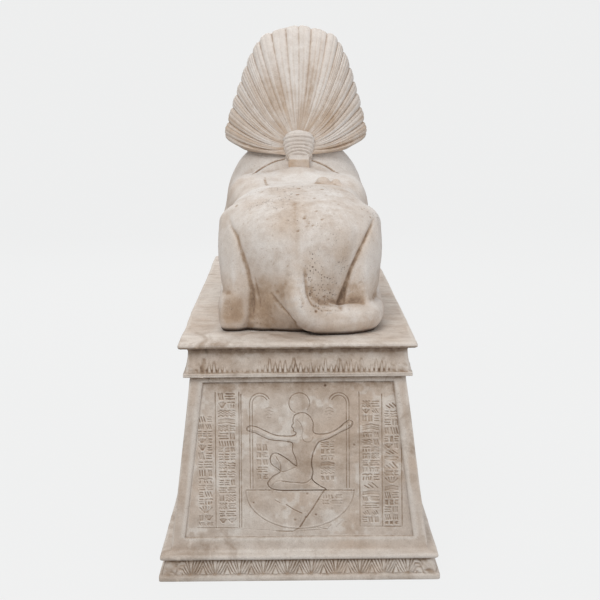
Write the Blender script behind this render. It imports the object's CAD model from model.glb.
import math

import bpy
import numpy as np
from mathutils import Matrix, Vector


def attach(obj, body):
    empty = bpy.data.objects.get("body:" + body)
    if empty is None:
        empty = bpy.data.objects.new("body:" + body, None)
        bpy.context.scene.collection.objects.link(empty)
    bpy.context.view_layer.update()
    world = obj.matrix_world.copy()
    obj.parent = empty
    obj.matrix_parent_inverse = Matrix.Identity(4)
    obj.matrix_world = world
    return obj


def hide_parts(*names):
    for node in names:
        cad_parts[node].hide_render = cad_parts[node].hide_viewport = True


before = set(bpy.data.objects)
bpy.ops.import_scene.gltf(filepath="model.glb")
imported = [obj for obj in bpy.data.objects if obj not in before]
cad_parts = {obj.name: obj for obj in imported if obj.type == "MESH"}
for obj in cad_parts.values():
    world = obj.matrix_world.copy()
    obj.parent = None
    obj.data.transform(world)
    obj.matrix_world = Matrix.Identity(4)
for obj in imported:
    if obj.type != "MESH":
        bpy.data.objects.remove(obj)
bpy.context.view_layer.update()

F = np.float32
rng = np.random.default_rng(20)

# ------------------------------------------------------------------ sizes, in millimetres
SEAT = 504.3                      # slab top plus the open joint
PLINTH_H = 504.0
REAR = 600.0                      # slab's rear edge
HEAD_Y, HEAD_TOP = 715.0, 677.0
PLAIT_X = -9.0
FAN_ROOT_Z, FAN_REAR, FAN_FRONT, FAN_LEAN = 396.0, 122.0, 46.0, -0.036
LOBES = 20

# ------------------------------------------------------------------ distance fields
# figure coordinates: x across, y forward from the slab's rear edge, z above the slab


def smin(a, b, k):
    h = np.maximum(k - np.abs(a - b), 0) / k
    return np.minimum(a, b) - h * h * k * 0.25


def smax(a, b, k):
    return -smin(-a, -b, k)


def sup(p, c, r, n=2.0, yaw=0.0, pitch=0.0):
    """Superellipsoid, as a first-order distance."""
    x, y, z = p[0] - F(c[0]), p[1] - F(c[1]), p[2] - F(c[2])
    if yaw:
        s, k = F(math.sin(yaw)), F(math.cos(yaw))
        x, y = k * x + s * y, k * y - s * x
    if pitch:
        s, k = F(math.sin(pitch)), F(math.cos(pitch))
        y, z = k * y + s * z, k * z - s * y
    ax, ay, az = np.abs(x) / F(r[0]), np.abs(y) / F(r[1]), np.abs(z) / (r[2] if isinstance(r[2], np.ndarray) else F(r[2]))
    if n == 2.0:
        f = np.sqrt(ax * ax + ay * ay + az * az)
        g = np.sqrt((ax / r[0]) ** 2 + (ay / r[1]) ** 2 + (az / r[2]) ** 2) / np.maximum(f, 1e-6)
    else:
        px, py, pz = np.power(ax, F(n - 1)), np.power(ay, F(n - 1)), np.power(az, F(n - 1))
        f = np.power(ax * px + ay * py + az * pz + F(1e-12), F(1 / n))
        g = np.sqrt((px / r[0]) ** 2 + (py / r[1]) ** 2 + (pz / r[2]) ** 2) / np.maximum(np.power(f, F(n - 1)), 1e-6)
    return (f - 1) / np.maximum(g, 1e-9)


def catmull(ctrl, steps):
    """Centripetal curve through the control points; extra columns are carried linearly."""
    c = np.array(ctrl, float)
    pts, l = c[:, :3], len(c)
    out = []
    for i in range(steps + 1):
        t = (l - 1) * i / steps
        ip = min(int(t), l - 2)
        w = t - ip
        p1, p2 = pts[ip], pts[ip + 1]
        p0 = pts[ip - 1] if ip > 0 else 2 * p1 - p2
        p3 = pts[ip + 2] if ip + 2 < l else 2 * p2 - p1
        d0, d1, d2 = [max(np.sum((b - a) ** 2), 1e-9) ** 0.25 for a, b in ((p0, p1), (p1, p2), (p2, p3))]
        t1 = ((p1 - p0) / d0 - (p2 - p0) / (d0 + d1) + (p2 - p1) / d1) * d1
        t2 = ((p2 - p1) / d1 - (p3 - p1) / (d1 + d2) + (p3 - p2) / d2) * d1
        q = p1 + t1 * w + (-3 * p1 + 3 * p2 - 2 * t1 - t2) * w * w + (2 * p1 - 2 * p2 + t1 + t2) * w ** 3
        out.append(list(q) + list(c[ip, 3:] * (1 - w) + c[ip + 1, 3:] * w))
    return np.array(out)


class Limb:
    def __init__(self, ctrl, steps=24):
        self.pts = catmull(ctrl, steps)

    def at(self, p):
        best = None
        for a, b in zip(self.pts[:-1], self.pts[1:]):
            v = (b - a)[:3]
            t = np.clip(((p[0] - F(a[0])) * F(v[0]) + (p[1] - F(a[1])) * F(v[1]) + (p[2] - F(a[2])) * F(v[2])) / F(v @ v), 0, 1)
            d = np.sqrt((p[0] - F(a[0]) - t * F(v[0])) ** 2 + (p[1] - F(a[1]) - t * F(v[1])) ** 2 + (p[2] - F(a[2]) - t * F(v[2])) ** 2)
            d = d - (F(a[3]) + t * F(b[3] - a[3]))
            best = d if best is None else np.minimum(best, d)
        return best


TAIL = Limb([
    [-6, 104, 205, 9], [-3, 88, 160, 15], [1, 80, 112, 24], [-2, 75, 72, 31], [-26, 78, 42, 32], [-66, 87, 32, 31],
    [-112, 95, 31, 31], [-148, 118, 31, 30], [-163, 165, 31, 29], [-168, 250, 31, 27], [-172, 340, 34, 26],
    [-174, 405, 62, 24], [-170, 440, 130, 21], [-154, 446, 200, 17], [-136, 444, 248, 14], [-120, 436, 270, 12], [-104, 428, 280, 11],
    [-84, 424, 284, 10]], 54)
SHANK_L = Limb([[128, 140, 40, 33], [129, 152, 95, 30], [137, 185, 160, 33], [137, 245, 220, 36]], 12)
SHANK_R = Limb([[-128, 138, 40, 33], [-131, 152, 95, 31], [-146, 190, 160, 35], [-150, 250, 215, 39]], 12)
FOOT_L = Limb([[134, 146, 30, 34], [138, 230, 30, 33], [142, 330, 30, 33], [142, 420, 29, 31]], 10)
FOOT_R = Limb([[-128, 140, 34, 34], [-136, 230, 30, 33], [-138, 330, 30, 32], [-138, 420, 29, 31]], 10)
ARM_L = Limb([[128, 655, 170, 62], [138, 625, 95, 56], [130, 680, 54, 52], [118, 800, 47, 47], [108, 960, 42, 42], [105, 1040, 38, 42]], 20)
ARM_R = Limb([[-130, 655, 170, 62], [-140, 625, 95, 56], [-132, 680, 54, 52], [-120, 800, 47, 47], [-110, 960, 42, 42], [-107, 1040, 38, 42]], 20)
CONTACT_Z = 7.0


def body_field(q):
    p = (q[0], q[1], np.maximum(q[2], F(CONTACT_Z)))
    trunk = sup(p, (-6, 268, 196), (153, 188, 90), 2.4, 0, 0.10)
    trunk = smin(trunk, sup(p, (-4, 236, 98), (101, 168, 130), 2.4), 46)
    trunk = smin(trunk, sup(p, (64, 205, 24), (62, 92, 52), 2.4), 18)
    trunk = smin(trunk, sup(p, (-4, 415, 147), (158, 305, 139), 4.5, 0, 0.09), 44)
    trunk = smin(trunk, sup(p, (107, 598, 168), (67, 150, 131), 3.2), 36)
    trunk = smin(trunk, sup(p, (-111, 598, 168), (70, 150, 130), 3.2), 36)
    trunk = smin(trunk, sup(p, (-5, 592, 232), (86, 118, 88), 2.3), 26)
    rz = np.where(p[2] > 200, F(192), F(130)).astype(F)
    d = smin(trunk, sup(p, (0, 722, 200), (181, 150, rz), 2.35), 14)
    d = smin(d, sup(p, (0, 776, 140), (104, 92, 165), 2.4), 36)
    d = smin(d, sup(p, (124, 688, 138), (56, 92, 150), 2.3, 0.12), 24)
    d = smin(d, sup(p, (-126, 688, 138), (58, 92, 150), 2.3, -0.12), 24)
    leg_l = smin(sup(p, (108, 305, 132), (63, 192, 128), 2.45, 0.03, -0.06), SHANK_L.at(p), 22)
    leg_r = smin(sup(p, (-122, 310, 134), (68, 196, 126), 2.35, -0.03, -0.06), SHANK_R.at(p), 22)
    leg_l = smin(leg_l, FOOT_L.at(p), 12)
    leg_r = smin(leg_r, FOOT_R.at(p), 12)
    # heels: squared blocks with a facet cut flat behind
    leg_l = smin(leg_l, sup(p, (140, 150, 42), (31, 44, 42), 3.6), 8)
    leg_r = smin(leg_r, sup(p, (-127, 150, 52), (29, 46, 50), 3.8), 8)
    leg_l = smax(leg_l, 109 + 0.10 * (p[2] - 40) - p[1], 4)
    leg_r = smax(leg_r, 109 + 0.10 * (p[2] - 60) - p[1], 4)
    # toes: each paw ends in four rounded toes
    for s, leg in ((1, "l"), (-1, "r")):
        for j in range(4):
            x0 = (144 if s > 0 else -140) + (j - 1.5) * 20
            toe = smin(sup(p, (x0, 446 - 5 * (j - 1.5) ** 2, 24), (12.5, 30, 25), 2.2), sup(p, (x0, 470 - 5 * (j - 1.5) ** 2, 16), (11, 17, 17), 2.0), 6)
            if s > 0:
                leg_l = smin(leg_l, toe, 4)
            else:
                leg_r = smin(leg_r, toe, 4)
    d = smin(d, leg_l, 14)
    d = smin(d, leg_r, 14)
    for s, arm in ((1, ARM_L), (-1, ARM_R)):
        a = smin(arm.at(p), sup(p, (105 * s if s > 0 else -107, 1052, 35), (50, 52, 40), 2.4), 14)
        for j in range(4):
            x0 = (105 if s > 0 else -107) + (j - 1.5) * 24.5
            back = 4.5 * (j - 1.5) ** 2
            a = smin(a, sup(p, (x0, 1086 - back, 27), (14, 34, 27), 2.2), 4)
            a = smin(a, sup(p, (x0, 1112 - back, 17), (12.5, 17, 18), 2.0), 5)
        d = smin(d, a, 18)
    tail = smin(TAIL.at(p), sup(p, (-65, 430, 292), (18, 20, 14), 2.0), 6)
    tail = smin(tail, sup(p, (-96, 432, 290), (11, 13, 11), 2.2), 6)
    low = F(1) * np.clip((80 - p[2]) / 60, 0, 1)
    return smin(d, tail, 8 + 12 * low) + 0.5 * np.clip(5 - q[2], 0, 5)          # the foot is drawn in, over the joint


EYE_Z, EYE_X, NOSE_Z, MOUTH_Z, CHIN_Z, BAND_Z = 502, 33, 463, 438, 402, 566
FACE_Y = HEAD_Y + 22


def face_field(q):
    ax = np.abs(q[0])
    p, m = q, (ax, q[1], q[2])
    d = sup(p, (0, FACE_Y, 505), (75, 92, 112), 2.25)
    d = smin(d, sup(p, (0, FACE_Y + 28, 440), (54, 56, 50), 2.2), 26)
    d = smin(d, sup(p, (0, FACE_Y + 66, CHIN_Z + 12), (24, 18, 17), 2.0), 16)
    d = smin(d, sup(m, (41, FACE_Y + 62, 466), (24, 20, 26), 2.0), 16)
    d = smax(d, -sup(m, (EYE_X + 1, FACE_Y + 96, EYE_Z + 1), (23, 14, 13), 2.0), 10)
    d = smin(d, sup(m, (EYE_X, FACE_Y + 78, EYE_Z), (16, 12, 8.5), 2.0), 2)
    lid = np.abs(sup(m, (EYE_X, FACE_Y + 78.5, EYE_Z), (18.5, 12.4, 10.5), 2.0)) - 1.1
    d = smin(d, np.maximum(lid, -(q[2] - EYE_Z) * 0 + (EYE_Z - 1.5 - q[2])), 1.5)
    d = smin(d, sup(m, (EYE_X + 2, FACE_Y + 82, EYE_Z + 19), (25, 11, 4), 2.0), 7)
    nt = np.clip((512 - p[2]) / (512 - NOSE_Z), 0, 1)
    nx, ny, nz = p[0] / (8 + 5 * nt), (p[1] - (FACE_Y + 84 + 9 * nt)) / (13 + 3 * nt), (p[2] - 486) / 30
    nose = (np.sqrt(nx * nx + ny * ny + nz * nz) - 1) * (8 + 5 * nt)
    d = smin(d, nose, 6)
    d = smin(d, sup(m, (10, FACE_Y + 92, NOSE_Z + 3), (7, 8, 7), 2.0), 4)
    d = smax(d, -sup(m, (5.5, FACE_Y + 97, NOSE_Z - 4), (3.2, 6, 3.2), 2.0), 1.5)
    d = smin(d, sup(p, (0, FACE_Y + 83, MOUTH_Z + 4.5), (23, 10, 5.5), 2.0), 4)
    d = smin(d, sup(p, (0, FACE_Y + 82, MOUTH_Z - 6), (19, 10, 6), 2.0), 4)
    d = smax(d, -sup(p, (0, FACE_Y + 97, MOUTH_Z - 0.6), (25, 8, 1.6), 2.0), 2)
    ear = smax(sup(m, (82, FACE_Y + 6, 489), (11, 17, 31), 2.2, 0.35), -sup(m, (88, FACE_Y + 14, 491), (6, 9, 20), 2.0, 0.35), 4)
    d = smin(d, ear, 5)
    return smin(d, sup(p, (0, HEAD_Y + 8, 385), (72, 72, 90), 2.0), 20)


# ------------------------------------------------------------------ meshing
def grad(field, p, h=0.6):
    """Central-difference gradient of a field at points p (3, n)."""
    g = []
    for m in range(3):
        a, b = [v.copy() for v in p], [v.copy() for v in p]
        a[m] = a[m] + F(h)
        b[m] = b[m] - F(h)
        g.append((field(a) - field(b)) / (2 * h))
    return np.array(g)


def skin(field, lo, hi, cell, steps=2):
    """Quads on the zero surface of a field: sampled coarsely, refined near the surface, then drawn on to it."""
    import openvdb as vdb
    k = 4
    lo, hi = np.array(lo, float), np.array(hi, float)
    nb = np.ceil((hi - lo) / (cell * k)).astype(int)
    n = nb * k
    big = F(cell * 6)
    ax = [lo[m] + (np.arange(nb[m]) + 0.5) * cell * k - 0.5 * cell for m in range(3)]
    cx, cy, cz = [a.astype(F).ravel() for a in np.meshgrid(*ax, indexing="ij")]
    dc = field((cx, cy, cz))
    near = np.abs(dc) < cell * k * 1.15
    arr = np.repeat(np.repeat(np.repeat(np.clip(dc, -big, big).reshape(nb), k, 0), k, 1), k, 2).astype(F)
    idx = np.argwhere(near.reshape(nb))
    o = np.stack(np.meshgrid(*[np.arange(k)] * 3, indexing="ij"), -1).reshape(-1, 3)
    ijk = (idx[:, None, :] * k + o[None]).reshape(-1, 3)
    pts = (lo + ijk * cell).astype(F)
    out = np.empty(len(pts), F)
    for s in range(0, len(pts), 400000):
        out[s:s + 400000] = field(tuple(pts[s:s + 400000].T))
    arr[ijk[:, 0], ijk[:, 1], ijk[:, 2]] = np.clip(out, -big, big)
    g = vdb.FloatGrid(float(big))
    g.copyFromArray(np.ascontiguousarray(arr))
    v, q = g.convertToQuads(0.0)[:2]
    v = lo + np.asarray(v, float) * cell
    q = np.asarray(q)
    for _ in range(steps):
        p = tuple(v.T.astype(F))
        d, gr = field(p), grad(field, p)
        v = v - (0.9 * np.clip(d, -cell, cell) * gr / np.maximum((gr ** 2).sum(0), 0.25)).T
    return v, q


def place(v):
    """Figure coordinates in mm to the row frame in metres."""
    return np.stack([v[:, 0], REAR - v[:, 1], v[:, 2] + SEAT], 1) / 1000.0


def make(name, v, faces, attrs=None, smooth=True):
    me = bpy.data.meshes.new(name)
    v = np.asarray(v, np.float32)
    faces = np.asarray(faces)
    me.vertices.add(len(v))
    me.vertices.foreach_set("co", v.ravel())
    w = faces.shape[1]
    me.loops.add(faces.size)
    me.loops.foreach_set("vertex_index", faces.astype(np.int32).ravel())
    me.polygons.add(len(faces))
    me.polygons.foreach_set("loop_start", np.arange(0, faces.size, w, dtype=np.int32))
    me.polygons.foreach_set("loop_total", np.full(len(faces), w, dtype=np.int32))
    me.update(calc_edges=True)
    me.validate()
    if smooth:
        me.shade_smooth()
    for k, val in (attrs or {}).items():
        a = me.attributes.new(k, "FLOAT", "POINT")
        a.data.foreach_set("value", np.asarray(val, np.float32))
    ob = bpy.data.objects.new(name, me)
    bpy.context.scene.collection.objects.link(ob)
    return ob


def outward(v, q):
    """Turns the faces over if the closed mesh is inside out."""
    a, b, c = v[q[:, 0]], v[q[:, 1]], v[q[:, 2]]
    if np.einsum("ij,ij->i", a, np.cross(b, c)).sum() < 0:
        q = q[:, ::-1]
    return q


# smooth seeded noise, as a sum of turned sine waves with a random lattice
class Noise:
    def __init__(self, seed, size):
        r = np.random.default_rng(seed)
        self.g = r.random((32, 32, 32)).astype(F)
        self.s = size

    def __call__(self, p):
        q = [np.asarray(v, float) / self.s for v in p]
        i = [np.floor(v).astype(int) for v in q]
        f = [v - w for v, w in zip(q, i)]
        f = [w * w * (3 - 2 * w) for w in f]
        out = 0
        for a in (0, 1):
            for b in (0, 1):
                for c in (0, 1):
                    wt = (f[0] if a else 1 - f[0]) * (f[1] if b else 1 - f[1]) * (f[2] if c else 1 - f[2])
                    out = out + wt * self.g[(i[0] + a) % 32, (i[1] + b) % 32, (i[2] + c) % 32]
        return out * 2 - 1


def near_line(x, z, pts):
    """Distance in the plane to a polyline, and how far along it the nearest point is (0..1)."""
    pts = np.array(pts, float)
    seg = np.hypot(*np.diff(pts, axis=0).T)
    cum = np.concatenate([[0], np.cumsum(seg)])
    best, along = np.full(x.shape, 1e9), np.zeros(x.shape)
    for i in range(len(pts) - 1):
        a, b = pts[i], pts[i + 1]
        v = b - a
        t = np.clip(((x - a[0]) * v[0] + (z - a[1]) * v[1]) / (v @ v), 0, 1)
        d = np.hypot(x - a[0] - t * v[0], z - a[1] - t * v[1])
        m = d < best
        best[m] = d[m]
        along[m] = ((cum[i] + t * seg[i]) / cum[-1])[m]
    return best, along


def hollow(field, v, nrm, reach):
    """How shut in each point is, from the field's own distances: 0 open, 1 deep."""
    p = tuple((v + nrm * reach).T.astype(F))
    return np.clip(1 - field(p) / reach, 0, 1.6)


def tri_quads(q):
    return np.concatenate([q[:, [0, 1, 2]], q[:, [0, 2, 3]]])


def curvature(v, tris, rounds):
    """How far each point sits below (+) or above (-) its smoothed neighbourhood, in the mesh's unit."""
    e = np.concatenate([tris[:, [0, 1]], tris[:, [1, 2]], tris[:, [2, 0]]])
    n = len(v)
    cnt = np.maximum(np.bincount(e[:, 0], minlength=n) + np.bincount(e[:, 1], minlength=n), 1)

    def blur(a):
        return np.stack([(np.bincount(e[:, 0], a[e[:, 1], m], n) + np.bincount(e[:, 1], a[e[:, 0], m], n)) / cnt for m in range(a.shape[1])], 1)
    fn = np.cross(v[tris[:, 1]] - v[tris[:, 0]], v[tris[:, 2]] - v[tris[:, 0]])
    nr = np.stack([sum(np.bincount(tris[:, k], fn[:, m], n) for k in range(3)) for m in range(3)], 1)
    nr /= np.maximum(np.linalg.norm(nr, axis=1, keepdims=True), 1e-12)
    s = v.copy()
    for _ in range(rounds):
        s = 0.5 * s + 0.5 * blur(s)
    c = ((s - v) * nr).sum(1)
    return blur(c[:, None])[:, 0]


def stone_piece(name, v, tris, dirt, foot=0.0, tan=0.0, pitty=0.3, turn=True, most=None, bloom=0.0, clean=0.0):
    """Makes a closed stone piece and writes on it where it is hollow, worn, stained or pitted."""
    v = np.asarray(v, float)
    if turn:
        tris = outward(v, tris)
    full = lambda a: np.broadcast_to(np.asarray(a, float), (len(v),))
    fine = curvature(v, tris, 4) * 1000
    wide = curvature(v, tris, 30) * 1000
    hollow_ = np.clip(fine / 0.22, 0, 1) * 0.55 + np.clip(wide / 2.0, 0, 1) * 0.45
    worn = np.clip(-fine / 0.28, 0, 1) * 0.6 + np.clip(-wide / 2.5, 0, 1) * 0.4
    worn = np.clip(worn + full(bloom), 0, 1)
    hollow_ = hollow_ * (1 - full(clean))
    ob = make(name, v, tris, {"dirt": np.clip(full(dirt), 0, 1.6), "hollow": hollow_, "worn": worn, "foot": full(foot), "tan": full(tan), "pitty": full(pitty)})
    if most and len(tris) > most:
        mod = ob.modifiers.new("thin", "DECIMATE")
        mod.ratio = most / len(tris)
        me = bpy.data.meshes.new_from_object(ob.evaluated_get(bpy.context.evaluated_depsgraph_get()))
        ob.modifiers.clear()
        ob.data = me
        me.name = name
    return ob


# ------------------------------------------------------------------ the figure's body
def build_body():
    cell = 2.55
    v, q = skin(body_field, (-226, 20, -22), (226, 1150, 430), cell)
    q = outward(v, q)
    p = tuple(v.T.astype(F))
    n = grad(body_field, p)
    n = (n / np.maximum(np.linalg.norm(n, axis=0), 1e-6)).T
    ao = 0.6 * hollow(body_field, v, n, 12) + 0.4 * hollow(body_field, v, n, 40)
    x, y, z = v.T
    move, dirt, tan = np.zeros(len(v)), np.zeros(len(v)), np.zeros(len(v))
    back = np.clip(-n[:, 1] * 1.7 + 0.75, 0, 1) * (y < 330)

    def soft(cx, cz, rx, rz, amount):
        """A tan patch on the rear, fading out."""
        k = np.exp(-((x - cx) / rx) ** 2 - ((z - cz) / rz) ** 2) * back
        np.maximum(tan, amount * k, out=tan)

    # cut folds between the rump and each hind leg, and round the root of the tail: [x, z], width, depth, dirt
    for pts, w, dep, ink in (
        ([(152, 242), (147, 233), (141, 221), (130, 206), (123, 181), (116, 163), (108, 137), (102, 112), (98, 90), (97, 70), (99, 42), (105, 16)], 5.4, 4.2, 0.46),
        ([(94, 128), (88, 100), (83, 74), (80, 50)], 3.0, 1.6, 0.25),
        ([(-172, 236), (-164, 221), (-152, 203), (-136, 176), (-117, 136), (-106, 105), (-98, 78), (-94, 55)], 4.6, 6.0, 0.72),
        ([(58, 92), (50, 80), (36, 62), (20, 45), (6, 28), (2, 16)], 2.6, 2.6, 0.45),
        ([(1, 108), (-6, 92), (-12, 78), (-12, 60)], 2.4, 1.6, 0.25),
        ([(-14, 150), (-17, 127), (-21, 92), (-31, 70), (-52, 57), (-84, 54)], 3.2, 2.6, 0.30),
    ):
        d, t = near_line(x, z, pts)
        on = np.clip(t * 6, 0, 1) * np.clip((1 - t) * 8, 0.25, 1) * back * (y < 300)
        k = np.exp(-(d / w) ** 2) * on
        soft_k = np.exp(-(d / (w * 3.4)) ** 2) * on
        move -= dep * k + 0.28 * dep * soft_k
        dirt = np.maximum(dirt, ink * k)
        tan = np.maximum(tan, 0.95 * ink * soft_k)
    # right groove opens and darkens towards the tail
    k = np.exp(-((x + 97 + 0.42 * (z - 78)) / (5 + 0.05 * np.clip(110 - z, 0, 60))) ** 2) * np.clip((118 - z) / 30, 0, 1) * np.clip((z - 50) / 12, 0, 1) * back
    move -= 4 * k
    dirt = np.maximum(dirt, 0.9 * k)
    # spine: a low ridge, faint hollows beside it
    xs = -9 - 2.5 * np.sin(z / 60.0)
    on = np.clip((292 - z) / 36, 0, 1) * np.clip((z - 120) / 60, 0, 1) * back
    move += on * (0.8 * np.exp(-((x - xs) / 5.5) ** 2) - 0.8 * np.exp(-((x - xs - 11) / 6.5) ** 2) - 0.4 * np.exp(-((x - xs + 12) / 7) ** 2))
    tan = np.maximum(tan, on * 0.34 * np.exp(-((x - xs - 13) / 11) ** 2))
    # dirt settled on the heel facets and low between the legs
    for cx, cz, rx, rz, ink in ((138, 50, 24, 32, 1.6), (-127, 82, 25, 24, 1.25), (70, 62, 30, 62, 1.25), (30, 96, 22, 20, 1.0), (-48, 74, 44, 40, 0.85), (-16, 262, 140, 66, 0.72), (0, 160, 110, 60, 0.32)):
        dirt = np.maximum(dirt, ink * np.exp(-((x - cx) / rx) ** 4 - ((z - cz) / rz) ** 4) * back)
    # settled warm stains on the rear
    soft(70, 60, 34, 55, 1.0)
    soft(20, 86, 24, 40, 0.75)
    soft(34, 100, 12, 16, 0.8)
    soft(144, 42, 30, 40, 1.0)
    soft(-129, 74, 28, 26, 0.95)
    soft(-60, 70, 60, 40, 0.35)
    soft(60, 60, 60, 60, 0.5)
    soft(-112, 120, 24, 50, 0.6)
    soft(-46, 100, 40, 60, 0.45)
    soft(-30, 150, 30, 30, 0.5)
    soft(-96, 175, 26, 26, 0.5)
    soft(30, 235, 26, 30, 0.4)
    soft(-6, 268, 22, 26, 0.35)
    soft(-110, 20, 70, 12, 0.45)
    soft(60, 20, 60, 14, 0.6)
    soft(166, 235, 20, 26, 0.35)
    # incised border of the cape, seen as an arc over the shoulders
    zp = z + 0.19 * (y - 620)
    d = np.abs(np.hypot((x - 1) * 0.98, zp - 184) - 154)
    fade = np.clip((np.abs(x + 4) - 26) / 6, 0, 1) * np.clip((126 - np.abs(x)) / 7, 0, 1) * (y > 560) * (y < 740) * (zp > 240) * (n[:, 2] > 0.0)
    arc = np.exp(-(d / 1.9) ** 2) * fade
    inner = np.clip(1 - (np.hypot((x - 1) * 0.98, zp - 184) - 154) / -5.0, 0, 1) * (np.hypot((x - 1) * 0.98, zp - 184) < 154) * fade
    move -= 3.2 * arc
    dirt = np.maximum(dirt, 1.15 * arc)
    # small fold at the inner end of the left shoulder hump
    d, t = near_line(x, y, [(76, 530), (75, 485), (70, 440), (60, 398), (48, 366)])
    k = np.exp(-(d / 3.6) ** 2) * (n[:, 2] > 0.4) * np.clip(t * 4, 0, 1) * np.clip((1 - t) * 4, 0, 1)
    move -= 3.6 * k
    dirt = np.maximum(dirt, 0.4 * k)
    # seat of the tail's ball and knob on the back
    for cx, cy, r in ((-65, 428, 20), (-97, 430, 13)):
        d = np.hypot(x - cx, y - cy) - r
        k = np.exp(-(d / 5) ** 2) * (n[:, 2] > 0.3) * (y < 520)
        move -= 0.8 * k
        dirt = np.maximum(dirt, 0.06 * k)
    tan = np.maximum(tan, 0.75 * np.exp(-((np.hypot(x + 66, y - 424)) / 26) ** 2) * (z > 270))
    tan = np.maximum(tan, 0.6 * np.exp(-((np.hypot(x + 98, y - 426)) / 22) ** 2) * (z > 262))
    # flank muscles and ribs, barely raised; claws and toe joints by the field itself
    side = np.clip(np.abs(n[:, 0]) * 1.5 - 0.4, 0, 1) * np.clip((y - 430) / 40, 0, 1) * np.clip((660 - y) / 40, 0, 1) * np.clip((z - 40) / 60, 0, 1) * np.clip((260 - z) / 40, 0, 1)
    move += side * 1.0 * np.sin((y + 0.25 * z) / 9.5)
    # uneven hand-finished surface
    big, mid, fine = Noise(3, 60), Noise(4, 22), Noise(5, 9)
    pp = (x + 500, y + 500, z + 500)
    nb, nm, nf = big(pp), mid(pp), fine(pp)
    move += 1.1 * nb + 0.5 * nm + 0.22 * nf
    rough = np.clip((95 - z) / 60, 0, 1) * (x > 10) * (x < 108) * back * np.clip(nm + 0.4, 0, 1)
    move += rough * 1.1 * nf
    # open casting pits, thickest over the rump
    r = np.random.default_rng(77)
    tries = r.integers(0, len(v), 2600)
    ctr = v[tries]
    w = np.where((ctr[:, 1] < 330) & (ctr[:, 2] > 50), 0.50, 0.04) * np.clip(1.2 - np.abs(ctr[:, 0] + 10) / 170, 0.25, 1)
    keep = r.random(len(ctr)) < w
    ctr, rad = ctr[keep], 0.9 + 2.4 * r.random(keep.sum()) ** 4
    ctr = np.vstack([ctr, [[44, 72, 92], [8, 84, 160], [40, 84, 140], [-52, 96, 206]]])
    rad = np.append(rad, [5.0, 3.0, 3.4, 3.0])
    hole = np.zeros(len(v))
    for c, rr in zip(ctr, rad):
        m = np.nonzero((np.abs(x - c[0]) < 3 * rr) & (np.abs(z - c[2]) < 3 * rr) & (np.abs(y - c[1]) < 3 * rr + 6))[0]
        if len(m):
            k = np.exp(-(((x[m] - c[0]) ** 2 + (z[m] - c[2]) ** 2 + ((y[m] - c[1]) * 0.6) ** 2) / rr ** 2) ** 1.4)
            hole[m] = np.maximum(hole[m], k)
            move[m] -= 0.75 * rr * k
    v = v + n * move[:, None]
    v[:, 2] = np.maximum(v[:, 2], 0)                             # flat underside
    foot = np.clip(1.35 - v[:, 2] / 8.0, 0, 1)
    cav = np.clip(ao * 0.8 + dirt * 0.9 + 0.8 * hole + 0.15 * rough, 0, 1.6)
    pitty = np.clip(np.where(y < 340, 0.44 + 0.44 * (1 - np.abs(x + 5) / 190), 0.10) * np.clip((z - 20) / 40, 0.3, 1), 0, 1)
    bloom = 1.0 * np.clip((y - 580) / 60, 0, 1) * np.clip((z - 190) / 90, 0, 1) * np.clip((800 - y) / 110, 0, 1) * np.clip(0.15 + 0.9 * n[:, 2] - 1.1 * n[:, 1], 0, 1) + 0.50 * np.clip((np.abs(x) - 100) / 20, 0, 1) * np.clip((360 - y) / 60, 0, 1) * np.clip((z - 100) / 40, 0, 1) + 0.42 * np.exp(-(x / 75) ** 2) * np.clip((y - 430) / 90, 0, 1) * np.clip((z - 240) / 40, 0, 1)
    return stone_piece("sphinx_body", place(v), tri_quads(q), cav, foot, tan=tan, pitty=pitty, most=196000, bloom=bloom)


# ------------------------------------------------------------------ pleated fan of the head cloth
def curve2(ctrl, steps=600):
    c = catmull([[a, b, 0, 0] for a, b in ctrl], steps)[:, :2]
    s = np.concatenate([[0], np.cumsum(np.hypot(*np.diff(c, axis=0).T))])
    return c, s / s[-1]


FAN_CTRL = [[0, HEAD_TOP - 2], [54, 663], [93, 647], [120, 608], [138, 566], [152, 523], [167, 476], [179, 431], [186, 393], [179, 383], [165, 374], [150, 366], [136, 358], [112, 354], [60, 353], [0, 353]]
FAN_C, FAN_S = curve2(FAN_CTRL)
TIP_U = FAN_S[np.argmax(FAN_C[:, 0])]


def fan_outline(s):
    a = np.abs(s)
    u = np.where(a <= 1, a * TIP_U, TIP_U + (a - 1) * (1 - TIP_U))
    return np.sign(s) * np.interp(u, FAN_S, FAN_C[:, 0]), np.interp(u, FAN_S, FAN_C[:, 1])


def pleats():
    """Crease places round the outline, s in -1..1: deep ones bound the lobes, shallow ones split them."""
    r = np.random.default_rng(11)
    deep = -1 + 2 * (np.arange(LOBES + 1)) / LOBES
    deep[1:-1] += r.uniform(-0.12, 0.12, LOBES - 1) * 2 / LOBES
    marks = [(s, 1.0) for s in deep]
    for a, b in zip(deep[:-1], deep[1:]):
        cuts = ([0.5], [0.34, 0.67], [0.26, 0.5, 0.75])[r.choice(3, p=[0.15, 0.5, 0.35])]
        marks += [(a + (b - a) * (c + r.uniform(-0.05, 0.05)), r.uniform(0.25, 0.6)) for c in cuts]
    return sorted(marks)


MARKS = pleats()
DEEP = np.array([m[0] for m in MARKS if m[1] == 1.0])


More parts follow.
